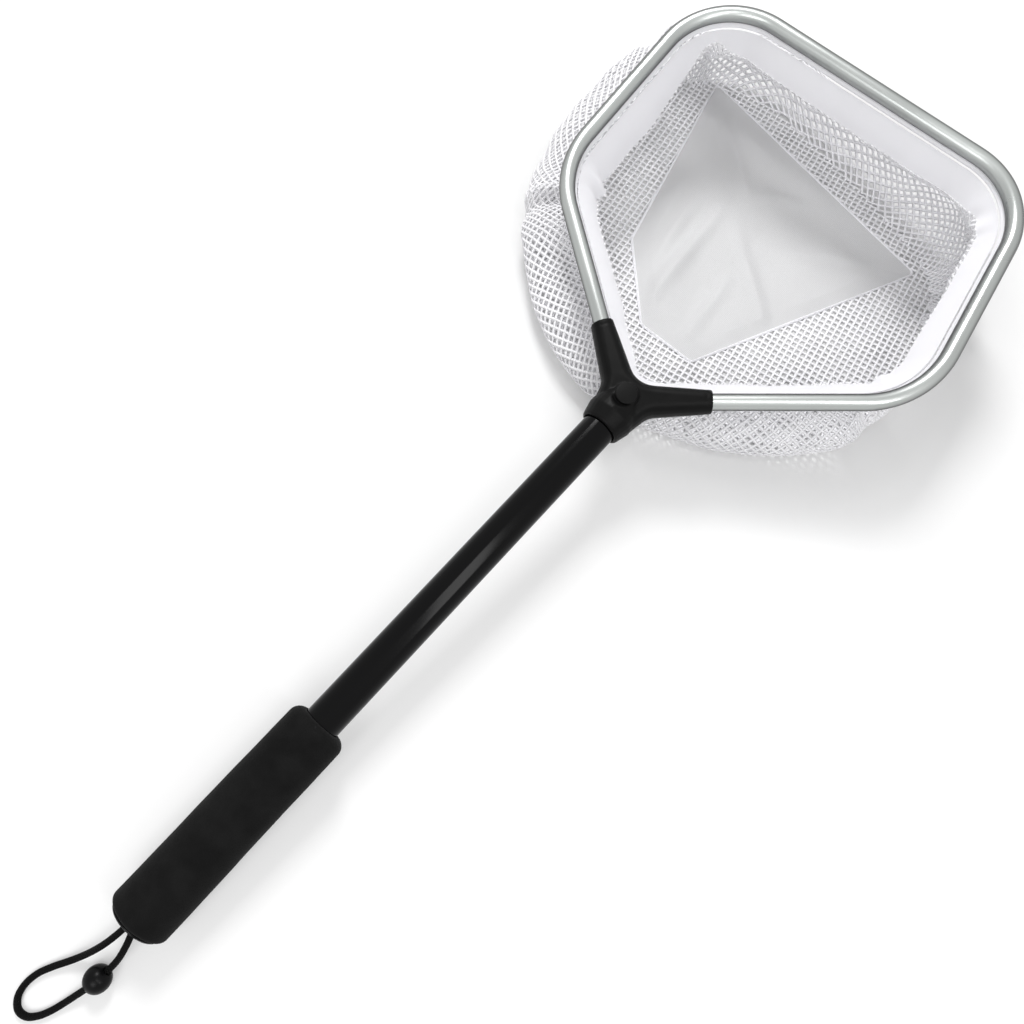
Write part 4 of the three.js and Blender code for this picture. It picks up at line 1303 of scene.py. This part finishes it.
@dataclass
class Bag:
    """The bag: fabric band, diamond netting and the gauze panel in its floor."""

    lie: Lie
    shop: Workshop
    hoop: Hoop
    around: int = 720
    crotch_round: float = 0.024
    arm_relief: float = 0.0039
    band_drop: float = 0.020
    band_lean: float = 0.012
    band_thickness: float = 0.0006
    band_wave: float = 0.0010
    band_gather: float = 0.0030
    welt_gap: float = 0.00055
    band_gap: float = 0.0004
    widest_share: float = 0.42
    shoulder_out: float = 0.45
    shoulder_share: float = 0.93
    side_share: float = 0.80
    tuck: float = 0.016
    floor: float = 0.0007
    diamond: float = 0.0051
    floor_diamond: float = 0.0056
    strand_width: float = 0.00170
    strand_thickness: float = 0.00060
    knot_radius: float = 0.00138
    fold_depth: float = 0.0045
    corner_fold: float = 0.0060
    floor_turn: float = math.radians(35)
    panel_round: float = 0.003
    panel_thickness: float = 0.0003
    panel_lift: float = 0.0012
    ripple_height: float = 0.0022
    hem_width: float = 0.0015
    hem_top: float = 0.0019
    hem_fall: float = 0.0008
    hem_thickness: float = 0.0004
    thread_radius: float = 0.00022
    band_stitch: float = 0.0032
    hem_stitch: float = 0.003
    hem_stitch_height: float = 0.0022
    wall_round: float = 0.86
    wall_reach: float = 0.15
    wall_slack: float = 0.00045
    floor_slack: float = 0.0003
    floor_ripple: float = 0.0011
    floor_steps: int = 360
    hem_steps: int = 480

    FAN_CENTRE = (-0.020, 0.0)
    # How deep the band hangs: place round the loop and share of the full drop
    BAND_DEPTHS = (
        (0.0, 0.24), (0.03, 0.36), (0.06, 0.80), (0.12, 0.95), (0.20, 0.76), (0.28, 0.62),
        (0.355, 0.52), (0.378, 0.40), (0.41, 0.62), (0.52, 0.66), (0.61, 0.58), (0.643, 0.50),
        (0.662, 0.16), (0.69, 0.60), (0.74, 0.88), (0.80, 0.92), (0.83, 1.00), (0.86, 0.86),
        (0.93, 0.92), (0.965, 0.66), (1.0, 0.24),
    )
    # Folds at the hoop's corners: place round the loop, height and spread
    CORNER_FOLDS = (
        (0.206, -0.5, 0.006), (0.215, 0.7, 0.007), (0.366, -0.5, 0.005), (0.376, 1.1, 0.006),
        (0.388, -0.8, 0.006), (0.400, 0.4, 0.007), (0.652, -0.6, 0.006), (0.663, 1.2, 0.006),
        (0.676, -0.4, 0.007), (0.815, -0.4, 0.006), (0.826, 1.0, 0.006), (0.838, -0.5, 0.006),
    )
    # Creases in the gauze: start, end, height and half the width
    CREASES = (
        ((-0.050, 0.025), (-0.041, -0.067), 0.0036, 0.0055),
        ((-0.033, 0.022), (0.033, -0.033), 0.0032, 0.0060),
        ((-0.008, -0.066), (-0.014, -0.012), 0.0028, 0.0050),
        ((-0.040, 0.054), (-0.014, 0.072), 0.0028, 0.0070),
        ((-0.068, 0.024), (-0.058, -0.030), 0.0026, 0.0045),
        ((-0.100, 0.095), (-0.040, 0.045), 0.0022, 0.0050),
        ((0.000, 0.030), (0.045, 0.062), 0.0022, 0.0060),
    )
    # Cloth as it was cut: width, length and area
    BAND_CUT = (0.024, 0.717, 0.0121)
    WALL_CUT = (0.131, 0.915, 0.0775)
    FLOOR_CUT = (0.258, 0.255, 0.0327)
    PANEL_CUT = (0.189, 0.191, 0.0223)
    PANEL = ((-0.119, 0.115), (-0.079, -0.031), (-0.034, -0.077), (0.005, -0.076), (0.072, 0.081))
    WIDEST = (
        (-0.166, 0.034), (-0.160, -0.018), (-0.138, -0.070), (-0.094, -0.116), (-0.036, -0.140),
        (0.014, -0.136), (0.060, -0.112), (0.098, -0.078), (0.113, -0.030), (0.116, 0.035),
        (0.090, 0.096), (0.010, 0.126), (-0.082, 0.139), (-0.131, 0.121), (-0.160, 0.082),
    )

    def loop(self) -> tuple[np.ndarray, np.ndarray, np.ndarray]:
        """Evenly spaced points round the hoop's centreline.

        Returns:
            The points, the direction inwards at each, and how far each is from the crossing.
        """
        corners = [np.zeros(2), *self.hoop.corners()]
        outline = rounded_outline(corners, [self.crotch_round, *self.hoop.bend_radii()], 24)
        points = spaced(outline, self.around)
        along = unit(np.roll(points, -1, axis=0) - np.roll(points, 1, axis=0))
        inward = np.column_stack([-along[:, 1], along[:, 0]])
        return points, inward, np.linalg.norm(points, axis=1)

    def places_round(self) -> np.ndarray:
        """Where each point lies round the loop, from 0 to 1."""
        return np.arange(self.around) / self.around

    def depth(self) -> np.ndarray:
        """How deep the band hangs at each point, as a share of its full drop.

        Returns:
            The share at each point.
        """
        shares, depths = zip(*self.BAND_DEPTHS)
        sharp = np.interp(self.places_round(), shares, depths)
        window = np.hanning(2 * (self.around // 100) + 3)
        padded = np.concatenate([sharp[-len(window):], sharp, sharp[:len(window)]])
        return np.convolve(padded, window / window.sum(), "same")[len(window):-len(window)]

    def corner_creases(self) -> np.ndarray:
        """Where the cloth is gathered into creases at the hoop's corners, from -1 to 1.

        Returns:
            The height at each point.
        """
        u, total = self.places_round(), np.zeros(self.around)
        for at, height, spread in self.CORNER_FOLDS:
            total += height * np.exp(-((u - at) / spread) ** 2)
        return total

    def pleats(self, level: np.ndarray | float) -> np.ndarray:
        """How far the band's folds stand out at a level, most at its lower edge.

        Args:
            level: how far down, as a share of the band's full drop.

        Returns:
            The distance at each point.
        """
        u = self.places_round()
        waves = wave_noise(u, np.zeros_like(u), waves=9, seed=11, high=26) * self.band_wave
        return (waves * 1.5 + self.corner_creases() * self.band_gather) * level ** 1.1

    def band_ring(self, level: np.ndarray | float) -> np.ndarray:
        """One ring of the band's surface, inwards of the hoop and down from its plane.

        Args:
            level: how far down the ring lies, as a share of the band's full drop, at each point.

        Returns:
            The ring's points in the model's frame.
        """
        points, inward, reach = self.loop()
        from_tube = self.hoop.web_reach + self.welt_gap + self.band_gap
        relief = self.arm_relief * np.maximum(0, 1 - reach / self.hoop.arm_length)
        lean = self.band_lean * (level + 0.12 * np.sin(math.pi * level))
        inset = from_tube * math.cos(self.hoop.droop) + relief + lean + self.pleats(level)
        drop = from_tube * math.sin(self.hoop.droop) + self.band_drop * level
        flat = points + inward * inset[:, None]
        ring = np.column_stack([flat, -drop * np.ones(self.around)])
        return placed(ring, self.lie.head())

    def band(self) -> bpy.types.Object:
        """The smooth fabric band below the hem.

        Returns:
            The piece.
        """
        rows = np.array([self.band_ring(s * self.depth()) for s in np.linspace(0, 1, 15)])
        part = cloth(rows, self.band_thickness, self.cloth_map(rows))
        return make_piece("net_band_skin", part, self.shop.materials["fabric"], 60)

    @staticmethod
    def cloth_map(rows: np.ndarray) -> np.ndarray:
        """Places on the cloth in metres: round the first row, and down from it.

        Args:
            rows: the cloth's points, in closed rings.

        Returns:
            A place per row and point, with one more point than a row.
        """
        first = np.vstack([rows[0], rows[0][:1]])
        around = np.append(0, np.cumsum(np.linalg.norm(np.diff(first, axis=0), axis=1)))
        down = np.append(0, np.cumsum(np.linalg.norm(np.diff(rows, axis=0), axis=2).mean(axis=1)))
        return np.stack(np.meshgrid(around, down), axis=-1)

    def widest_outline(self) -> np.ndarray:
        """The bag's widest line from above: a smooth closed curve through its points.

        Returns:
            The curve's points.
        """
        knots = np.array(self.WIDEST)
        points = []
        for i in range(len(knots)):
            p = [knots[(i + k - 1) % len(knots)] for k in range(4)]
            for t in np.linspace(0, 1, 24, endpoint=False):
                points.append(0.5 * (2 * p[1] + (p[2] - p[0]) * t
                                     + (2 * p[0] - 5 * p[1] + 4 * p[2] - p[3]) * t ** 2
                                     + (3 * p[1] - p[0] - 3 * p[2] + p[3]) * t ** 3))
        return np.array(points)

    def panel_outline(self) -> np.ndarray:
        """The gauze panel's outline."""
        corners = [np.array(p) for p in self.PANEL]
        return rounded_outline(corners, [self.panel_round] * len(corners), 8)

    def side_rows(self) -> np.ndarray:
        """The netting from the band's lower edge out to the widest line, under and onto the table.

        Returns:
            Its points, in closed rings.
        """
        depth = self.depth()
        top, full = self.band_ring(depth + 0.02), self.band_ring(1.02)
        centre = np.array(self.FAN_CENTRE)
        angles = np.arctan2(full[:, 1] - centre[1], full[:, 0] - centre[0])
        outer = ray_to(self.widest_outline(), centre, angles)
        foot = ray_to(self.panel_outline(), centre, angles)
        wide_z = self.floor + (full[:, 2] - self.floor) * self.widest_share
        widest = np.column_stack([outer, wide_z])
        inward = unit(foot - outer) * self.tuck
        table = np.column_stack([outer + inward, np.full(self.around, self.floor)])
        shoulder = full + (widest - full) * (self.shoulder_out * depth ** 2)[:, None]
        shoulder[:, 2] = full[:, 2] * self.shoulder_share
        side = np.column_stack([outer, full[:, 2] * self.side_share])
        rows = [bezier(top, shoulder, side, widest, t) for t in np.linspace(0, 1, 40)]
        for angle in np.linspace(0, math.pi / 2, 14)[1:]:
            ring = table + (widest - table) * math.cos(angle)
            ring[:, 2] = widest[:, 2] + (table[:, 2] - widest[:, 2]) * math.sin(angle)
            rows.append(ring)
        return self.folded(np.array(rows))

    def folded(self, rows: np.ndarray) -> np.ndarray:
        """Adds the folds of slack netting, none at the band and few on the table.

        Args:
            rows: the netting's points, in closed rings.

        Returns:
            The moved points.
        """
        share = np.linspace(0, 1, len(rows))[:, None]
        u = self.places_round()[None, :]
        depth = self.fold_depth * np.sin(math.pi * np.clip(share * 1.15, 0, 1)) ** 0.8
        broad = wave_noise(u, share * 0.35, waves=12, seed=7, high=22)
        folds = broad + 0.5 * wave_noise(u, share, waves=10, seed=9, high=48)
        fade = np.sin(math.pi * np.clip(share * 1.3, 0, 1))
        creases = self.corner_creases()[None, :] * fade * self.corner_fold
        moved = rows + sheet_normals(rows) * (depth * folds - creases)[..., None]
        moved[..., 2] = np.maximum(moved[..., 2], self.floor)
        return moved

    @staticmethod
    def sheet_surface(name: str, rows: np.ndarray, uv: np.ndarray) -> bpy.types.Object:
        """A bare sheet with its cloth map, for the netting to be laid on."""
        return linked(name, sheet_mesh(name, Part(rows.reshape(-1, 3), *ring_faces(uv, False))))

    def side_netting(self) -> bpy.types.Object:
        """Diamond netting on the bag's side, which closes round it without a seam.

        Returns:
            The piece.
        """
        rows = self.side_rows()[:, ::2]
        lengths = np.linalg.norm(np.diff(rows, axis=0), axis=2)
        down = np.vstack([np.zeros((1, rows.shape[1])), np.cumsum(lengths, axis=0)])
        down = np.hstack([down, down[:, :1]])
        columns = round(self.wall_round / self.diamond)
        width = columns * self.diamond
        across = np.tile(np.linspace(0, width, rows.shape[1] + 1), (len(rows), 1))
        surface = self.sheet_surface("side_sheet", rows, np.stack([across, down], axis=-1))
        settings = {"Columns": columns, "Rows": int(self.wall_reach / self.diamond * 2),
                    "Wrap High": width, "Slack": self.wall_slack, "Seed": 3}
        return self.netting("net_wall_skin", surface, self.diamond, settings)

    def floor_netting(self) -> bpy.types.Object:
        """Diamond netting on the table, from under the bag's side to beneath the panel's hem.

        Returns:
            The piece.
        """
        outer = spaced(self.widest_outline(), self.floor_steps)
        centre = np.array(self.FAN_CENTRE)
        angles = np.arctan2(outer[:, 1] - centre[1], outer[:, 0] - centre[0])
        foot = ray_to(self.panel_outline(), centre, angles)
        outer = outer + unit(foot - outer) * (self.tuck - 0.003)
        inner = foot + unit(centre - foot) * self.floor_diamond * 0.8
        rows = []
        for t in np.linspace(0, 1, 24):
            flat = outer + (inner - outer) * t
            ripple = wave_noise(np.arange(self.floor_steps) / self.floor_steps,
                                np.full(self.floor_steps, t), waves=10, seed=21, high=18)
            height = self.floor_ripple * np.maximum(ripple, 0) * math.sin(math.pi * t)
            rows.append(np.column_stack([flat, self.floor + height]))
        grid = np.array(rows)
        turn = np.array(Matrix.Rotation(self.floor_turn, 2))
        flat = np.concatenate([grid[..., :2], grid[:, :1, :2]], axis=1) @ turn.T
        surface = self.sheet_surface("floor_sheet", grid, flat)
        low, high = flat.reshape(-1, 2).min(0), flat.reshape(-1, 2).max(0)
        tall = int((high[1] - low[1]) / self.floor_diamond * 2) + 2
        span = int((high[0] - low[0]) / self.floor_diamond) + tall + 2
        start = (float(low[0]) - tall * self.floor_diamond / 2, float(low[1]), 0.0)
        settings = {"Columns": span, "Rows": tall, "Start": start, "Wrap Low": -2.0,
                    "Wrap High": 2.0, "Slack": self.floor_slack, "Seed": 5}
        return self.netting("net_floor_skin", surface, self.floor_diamond, settings)

    def netting(self, name: str, surface: bpy.types.Object, diamond: float,
                settings: dict[str, object]) -> bpy.types.Object:
        """Grows netting on a sheet.

        Args:
            name: the piece's name.
            surface: the sheet.
            diamond: the width of a diamond.
            settings: the tree's other inputs.

        Returns:
            The netting.
        """
        shared = {"Material": self.shop.materials["yarn"], "Diamond": diamond,
                  "Strand Width": self.strand_width, "Strand Thickness": self.strand_thickness,
                  "Knot Radius": self.knot_radius}
        return grow(name, surface, self.shop.netting, {**shared, **settings})

    def panel(self) -> bpy.types.Object:
        """The gauze panel, a little puckered.

        Returns:
            The piece.
        """
        centre = np.array(self.FAN_CENTRE)
        angles = np.linspace(-math.pi, math.pi, 360, endpoint=False)
        rim = ray_to(self.panel_outline(), centre, angles)
        shares = np.linspace(1, 0.004, 60)
        flat = centre + (rim - centre)[None] * shares[:, None, None]
        x, y = flat[..., 0], flat[..., 1]
        lift = self.panel_lift + self.pucker(x, y) * np.clip((1 - shares) * 6, 0, 1)[:, None]
        rows = np.concatenate([flat, lift[..., None]], axis=-1)
        uv = np.concatenate([flat, flat[:, :1]], axis=1)
        part = cloth(rows, self.panel_thickness, uv)
        return make_piece("bottom_panel_skin", part, self.shop.materials["gauze"], 60)

    def pucker(self, x: np.ndarray, y: np.ndarray) -> np.ndarray:
        """How far the gauze lifts in its creases and in soft ripples between them.

        Args:
            x: places across the panel.
            y: places along it.

        Returns:
            The lift at each place, from 0 up.
        """
        random = np.random.default_rng(31)
        ripple = np.zeros_like(x)
        for _ in range(10):
            angle, wave = random.uniform(-0.2, 0.9), random.uniform(0.035, 0.11)
            phase = (x * math.cos(angle) + y * math.sin(angle)) / wave + random.random()
            ripple += np.sin(2 * math.pi * phase)
        total = self.ripple_height * np.clip(0.6 + ripple / 5, 0, 2)
        for start, end, height, half_width in self.CREASES:
            run = np.subtract(end, start)
            share = ((x - start[0]) * run[0] + (y - start[1]) * run[1]) / (run @ run)
            near = np.clip(share, 0, 1)
            off = np.hypot(x - start[0] - near * run[0], y - start[1] - near * run[1])
            fade = np.sin(math.pi * np.clip(0.12 + 0.76 * near, 0, 1))
            total += height * fade * np.exp(-(off / half_width) ** 2)
        return total

    def panel_hem(self) -> bpy.types.Object:
        """The narrow tape that is sewn over the joint of panel and netting.

        Returns:
            The piece.
        """
        centre = np.array(self.FAN_CENTRE)
        outline = spaced(self.panel_outline(), self.hem_steps)
        away = unit(outline - centre)
        rows = []
        for t in np.linspace(-0.5, 0.5, 5):
            flat = outline + away * t * self.hem_width
            height = self.hem_top - self.hem_fall * (2 * t) ** 2
            rows.append(np.column_stack([flat, np.full(len(flat), height)]))
        grid = np.array(rows)
        part = cloth(grid, self.hem_thickness, self.cloth_map(grid))
        return make_piece("panel_hem", part, self.shop.materials["fabric"], 60)

    def seam(self, name: str, line: np.ndarray, spacing: float) -> bpy.types.Object:
        """A line of stitches.

        Args:
            name: the piece's name.
            line: the closed line that it follows.
            spacing: the distance from stitch to stitch.

        Returns:
            The stitches.
        """
        settings = {"Material": self.shop.materials["yarn"], "Spacing": spacing,
                    "Stitch Length": spacing * 0.75, "Thread Radius": self.thread_radius, "Seed": 2}
        return grow(name, closed_line(name + "_line", line), self.shop.stitches, settings)

    def seams(self) -> list[bpy.types.Object]:
        """The stitches along the band's two edges and the panel's hem.

        Returns:
            The seams, the panel's last.
        """
        rings = []
        for share in (0.06, 0.90, 0.96):
            near = np.array([self.band_ring((share + k) * self.depth()) for k in (-0.02, 0.0, 0.02)])
            face = -sheet_normals(near)[1] * (self.band_thickness / 2 + 0.0001)
            rings.append(near[1] + face)
        names = ("band_top_seam", "band_lower_seam_a", "band_lower_seam_b")
        made = [self.seam(name, ring, self.band_stitch) for name, ring in zip(names, rings)]
        outline = spaced(self.panel_outline(), self.hem_steps)
        line = np.column_stack([outline, np.full(len(outline), self.hem_stitch_height)])
        return [*made, self.seam("panel_hem_seam", line, self.hem_stitch)]

    @staticmethod
    def declare(piece: bpy.types.Object, cut: tuple[float, float, float], held: str, rests_on: str,
                trim: Sequence[bpy.types.Object] = ()) -> None:
        """Takes a piece of cloth and the size that it was cut to, and does nothing with them.

        Args:
            piece: the cloth; not used.
            cut: its width and length laid flat, and its area; not used.
            held: how it is held; not used.
            rests_on: what it hangs from or lies on; not used.
            trim: the pieces sewn to it; not used.
        """

    def build(self) -> None:
        """Makes the bag's pieces."""
        band = settle(self.band(), "white_fabric", "net_band")
        wall = settle(self.side_netting(), "white_netting", "net_wall")
        floor = settle(self.floor_netting(), "white_netting", "net_floor")
        panel = settle(self.panel(), "fine_gauze", "bottom_panel")
        hem = settle(self.panel_hem(), "white_fabric")
        *band_seams, panel_seam = [settle(seam, "white_fabric") for seam in self.seams()]
        self.declare(band, self.BAND_CUT, "hung", "hoop",
                     [*band_seams, bpy.data.objects["welted_hem_skin"]])
        self.declare(wall, self.WALL_CUT, "hung", "net_band")
        self.declare(floor, self.FLOOR_CUT, "laid", "net_wall")
        self.declare(panel, self.PANEL_CUT, "laid", "net_floor", [hem, panel_seam])


def bezier(a: np.ndarray, b: np.ndarray, c: np.ndarray, d: np.ndarray, t: float) -> np.ndarray:
    """A point of the curve with ends a and d and handles b and c, for arrays of points."""
    s = 1 - t
    return s ** 3 * a + 3 * s * s * t * b + 3 * s * t * t * c + t ** 3 * d


@dataclass
class Studio:
    """The camera, the pale table and the soft light."""

    camera_at: tuple[float, float, float] = (0.06694, -0.35452, 0.42674)
    camera_turn: tuple[float, float, float] = (19.1509, -4.0530, 41.9931)
    lens: float = 28.125
    sensor: float = 36.0
    floor_size: float = 6.0
    floor_colour: tuple[float, float, float, float] = (0.74, 0.74, 0.74, 1.0)
    # Glow seen by the camera: under the bag, on the open table and far off; the first paints shadow
    # under and beside the bag
    glow_levels: tuple[float, float, float] = (0.0, 0.215, 0.80)
    painted_shadow_centre: tuple[float, float, float] = (-0.010, 0.030, 0.0)
    painted_shadow_radii: tuple[float, float] = (0.128, 0.208)
    far_radii: tuple[float, float] = (0.55, 1.5)
    world_strength: float = 0.39
    # Soft boxes: name, place, power in watts, width across the handle and length along it
    LAMPS = (
        ("key", (-0.66, 0.40, 1.04), 11.2, (0.42, 0.42)),
        ("strip", (0.55, -0.25, 1.00), 3.8, (0.17, 1.10)),
        ("front", (0.20, -1.05, 0.95), 5.2, (0.60, 0.60)),
    )

    def camera(self) -> None:
        """The camera at the photograph's viewing angle."""
        data = bpy.data.cameras.new("camera")
        data.lens = self.lens
        data.sensor_width = self.sensor
        data.clip_start = 0.01
        camera = linked("camera", data)
        camera.location = self.camera_at
        camera.rotation_euler = Euler([math.radians(a) for a in self.camera_turn])
        bpy.context.scene.camera = camera

    def table(self) -> None:
        """A pale floor, white where no shadow falls, with painted shadow where its glow fades out under
        and beside the bag.
        """
        half = self.floor_size / 2
        corners = [(-half, -half, 0), (half, -half, 0), (half, half, 0), (-half, half, 0)]
        mesh = bpy.data.meshes.new("floor")
        mesh.from_pydata(corners, [], [(0, 1, 2, 3)])
        floor = linked("floor", mesh)
        material = bpy.data.materials.new("pale_floor")
        material.use_nodes = True
        bench = NodeBench(material.node_tree)
        principled = material.node_tree.nodes["Principled BSDF"]
        principled.inputs["Base Color"].default_value = self.floor_colour
        principled.inputs["Roughness"].default_value = 0.9
        principled.inputs["Specular IOR Level"].default_value = 0.0
        glow = bench.add("ShaderNodeEmission", {"Color": (1, 1, 1, 1)})
        place = bench.add("ShaderNodeTexCoord").outputs["Object"]
        away = bench.add("ShaderNodeVectorMath", {0: place}, operation="LENGTH").outputs["Value"]
        beside = bench.add("ShaderNodeVectorMath", {0: place, 1: self.painted_shadow_centre},
                           operation="DISTANCE").outputs["Value"]
        # Painted shadow: near the bag the glow fades to the under level, so the table looks darker
        # there
        under, open_table, far = self.glow_levels
        near = bench.ramp(beside, *self.painted_shadow_radii, under, open_table, Ramp.SMOOTH)
        beyond = bench.ramp(away, *self.far_radii, 0, far - open_table, Ramp.SMOOTH)
        level = bench.math("ADD", near, beyond)
        bench.join(bench.math("MULTIPLY", self.seen(bench), level), glow.inputs["Strength"])
        both = bench.add("ShaderNodeAddShader", {0: principled.outputs[0], 1: glow.outputs[0]})
        bench.join(both.outputs[0], material.node_tree.nodes["Material Output"].inputs[0])
        mesh.materials.append(material)

    @staticmethod
    def seen(bench: NodeBench) -> bpy.types.NodeSocket:
        """One where a ray from the camera, a reflection or a clear surface arrives, else nought.

        Args:
            bench: the tree's bench.

        Returns:
            The socket with that value.
        """
        path = bench.add("ShaderNodeLightPath")
        first = bench.math("MAXIMUM", path.outputs["Is Camera Ray"], path.outputs["Is Glossy Ray"])
        return bench.math("MAXIMUM", first, path.outputs["Is Transmission Ray"])

    def sky(self) -> None:
        """Soft light from all sides, white where it is seen."""
        world = bpy.data.worlds.new("studio")
        world.use_nodes = True
        bpy.context.scene.world = world
        bench = NodeBench(world.node_tree)
        background = world.node_tree.nodes["Background"]
        background.inputs["Color"].default_value = (1, 1, 1, 1)
        strength = bench.ramp(self.seen(bench), 0, 1, self.world_strength, 1.0)
        bench.join(strength, background.inputs["Strength"])

    def lamp(self, name: str, at: tuple[float, float, float], power: float,
             size: tuple[float, float]) -> None:
        """A soft box that faces the net.

        Args:
            name: its name.
            at: where it hangs.
            power: its power in watts.
            size: its width across the handle and its length along it.
        """
        data = bpy.data.lights.new(name, "AREA")
        data.energy = power
        data.shape = "RECTANGLE"
        data.size, data.size_y = size
        lamp = linked(name, data)
        lamp.location = at
        aim = Vector((0, at[1], 0)) - Vector(at)
        lamp.rotation_euler = aim.to_track_quat("-Z", "Y").to_euler()

    def build(self) -> None:
        """Makes the camera, the table and the lamps, and sets plain colours."""
        self.camera()
        self.table()
        self.sky()
        for lamp in self.LAMPS:
            self.lamp(*lamp)
        bpy.context.scene.view_settings.view_transform = "Standard"


def main() -> None:
    """Builds the studio and the net's sub-assemblies in order."""
    logging.basicConfig(level=logging.INFO, format="%(name)s: %(message)s")
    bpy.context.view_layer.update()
    Studio().build()
    shop = Workshop.open()
    WristCord(shop).build()
    lie = Lie()
    Handle(lie, shop).build()
    Yoke(lie, shop).build()
    hoop = Hoop(lie, shop)
    hoop.build()
    Bag(lie, shop, hoop).build()


if __name__ == "__main__":
    main()
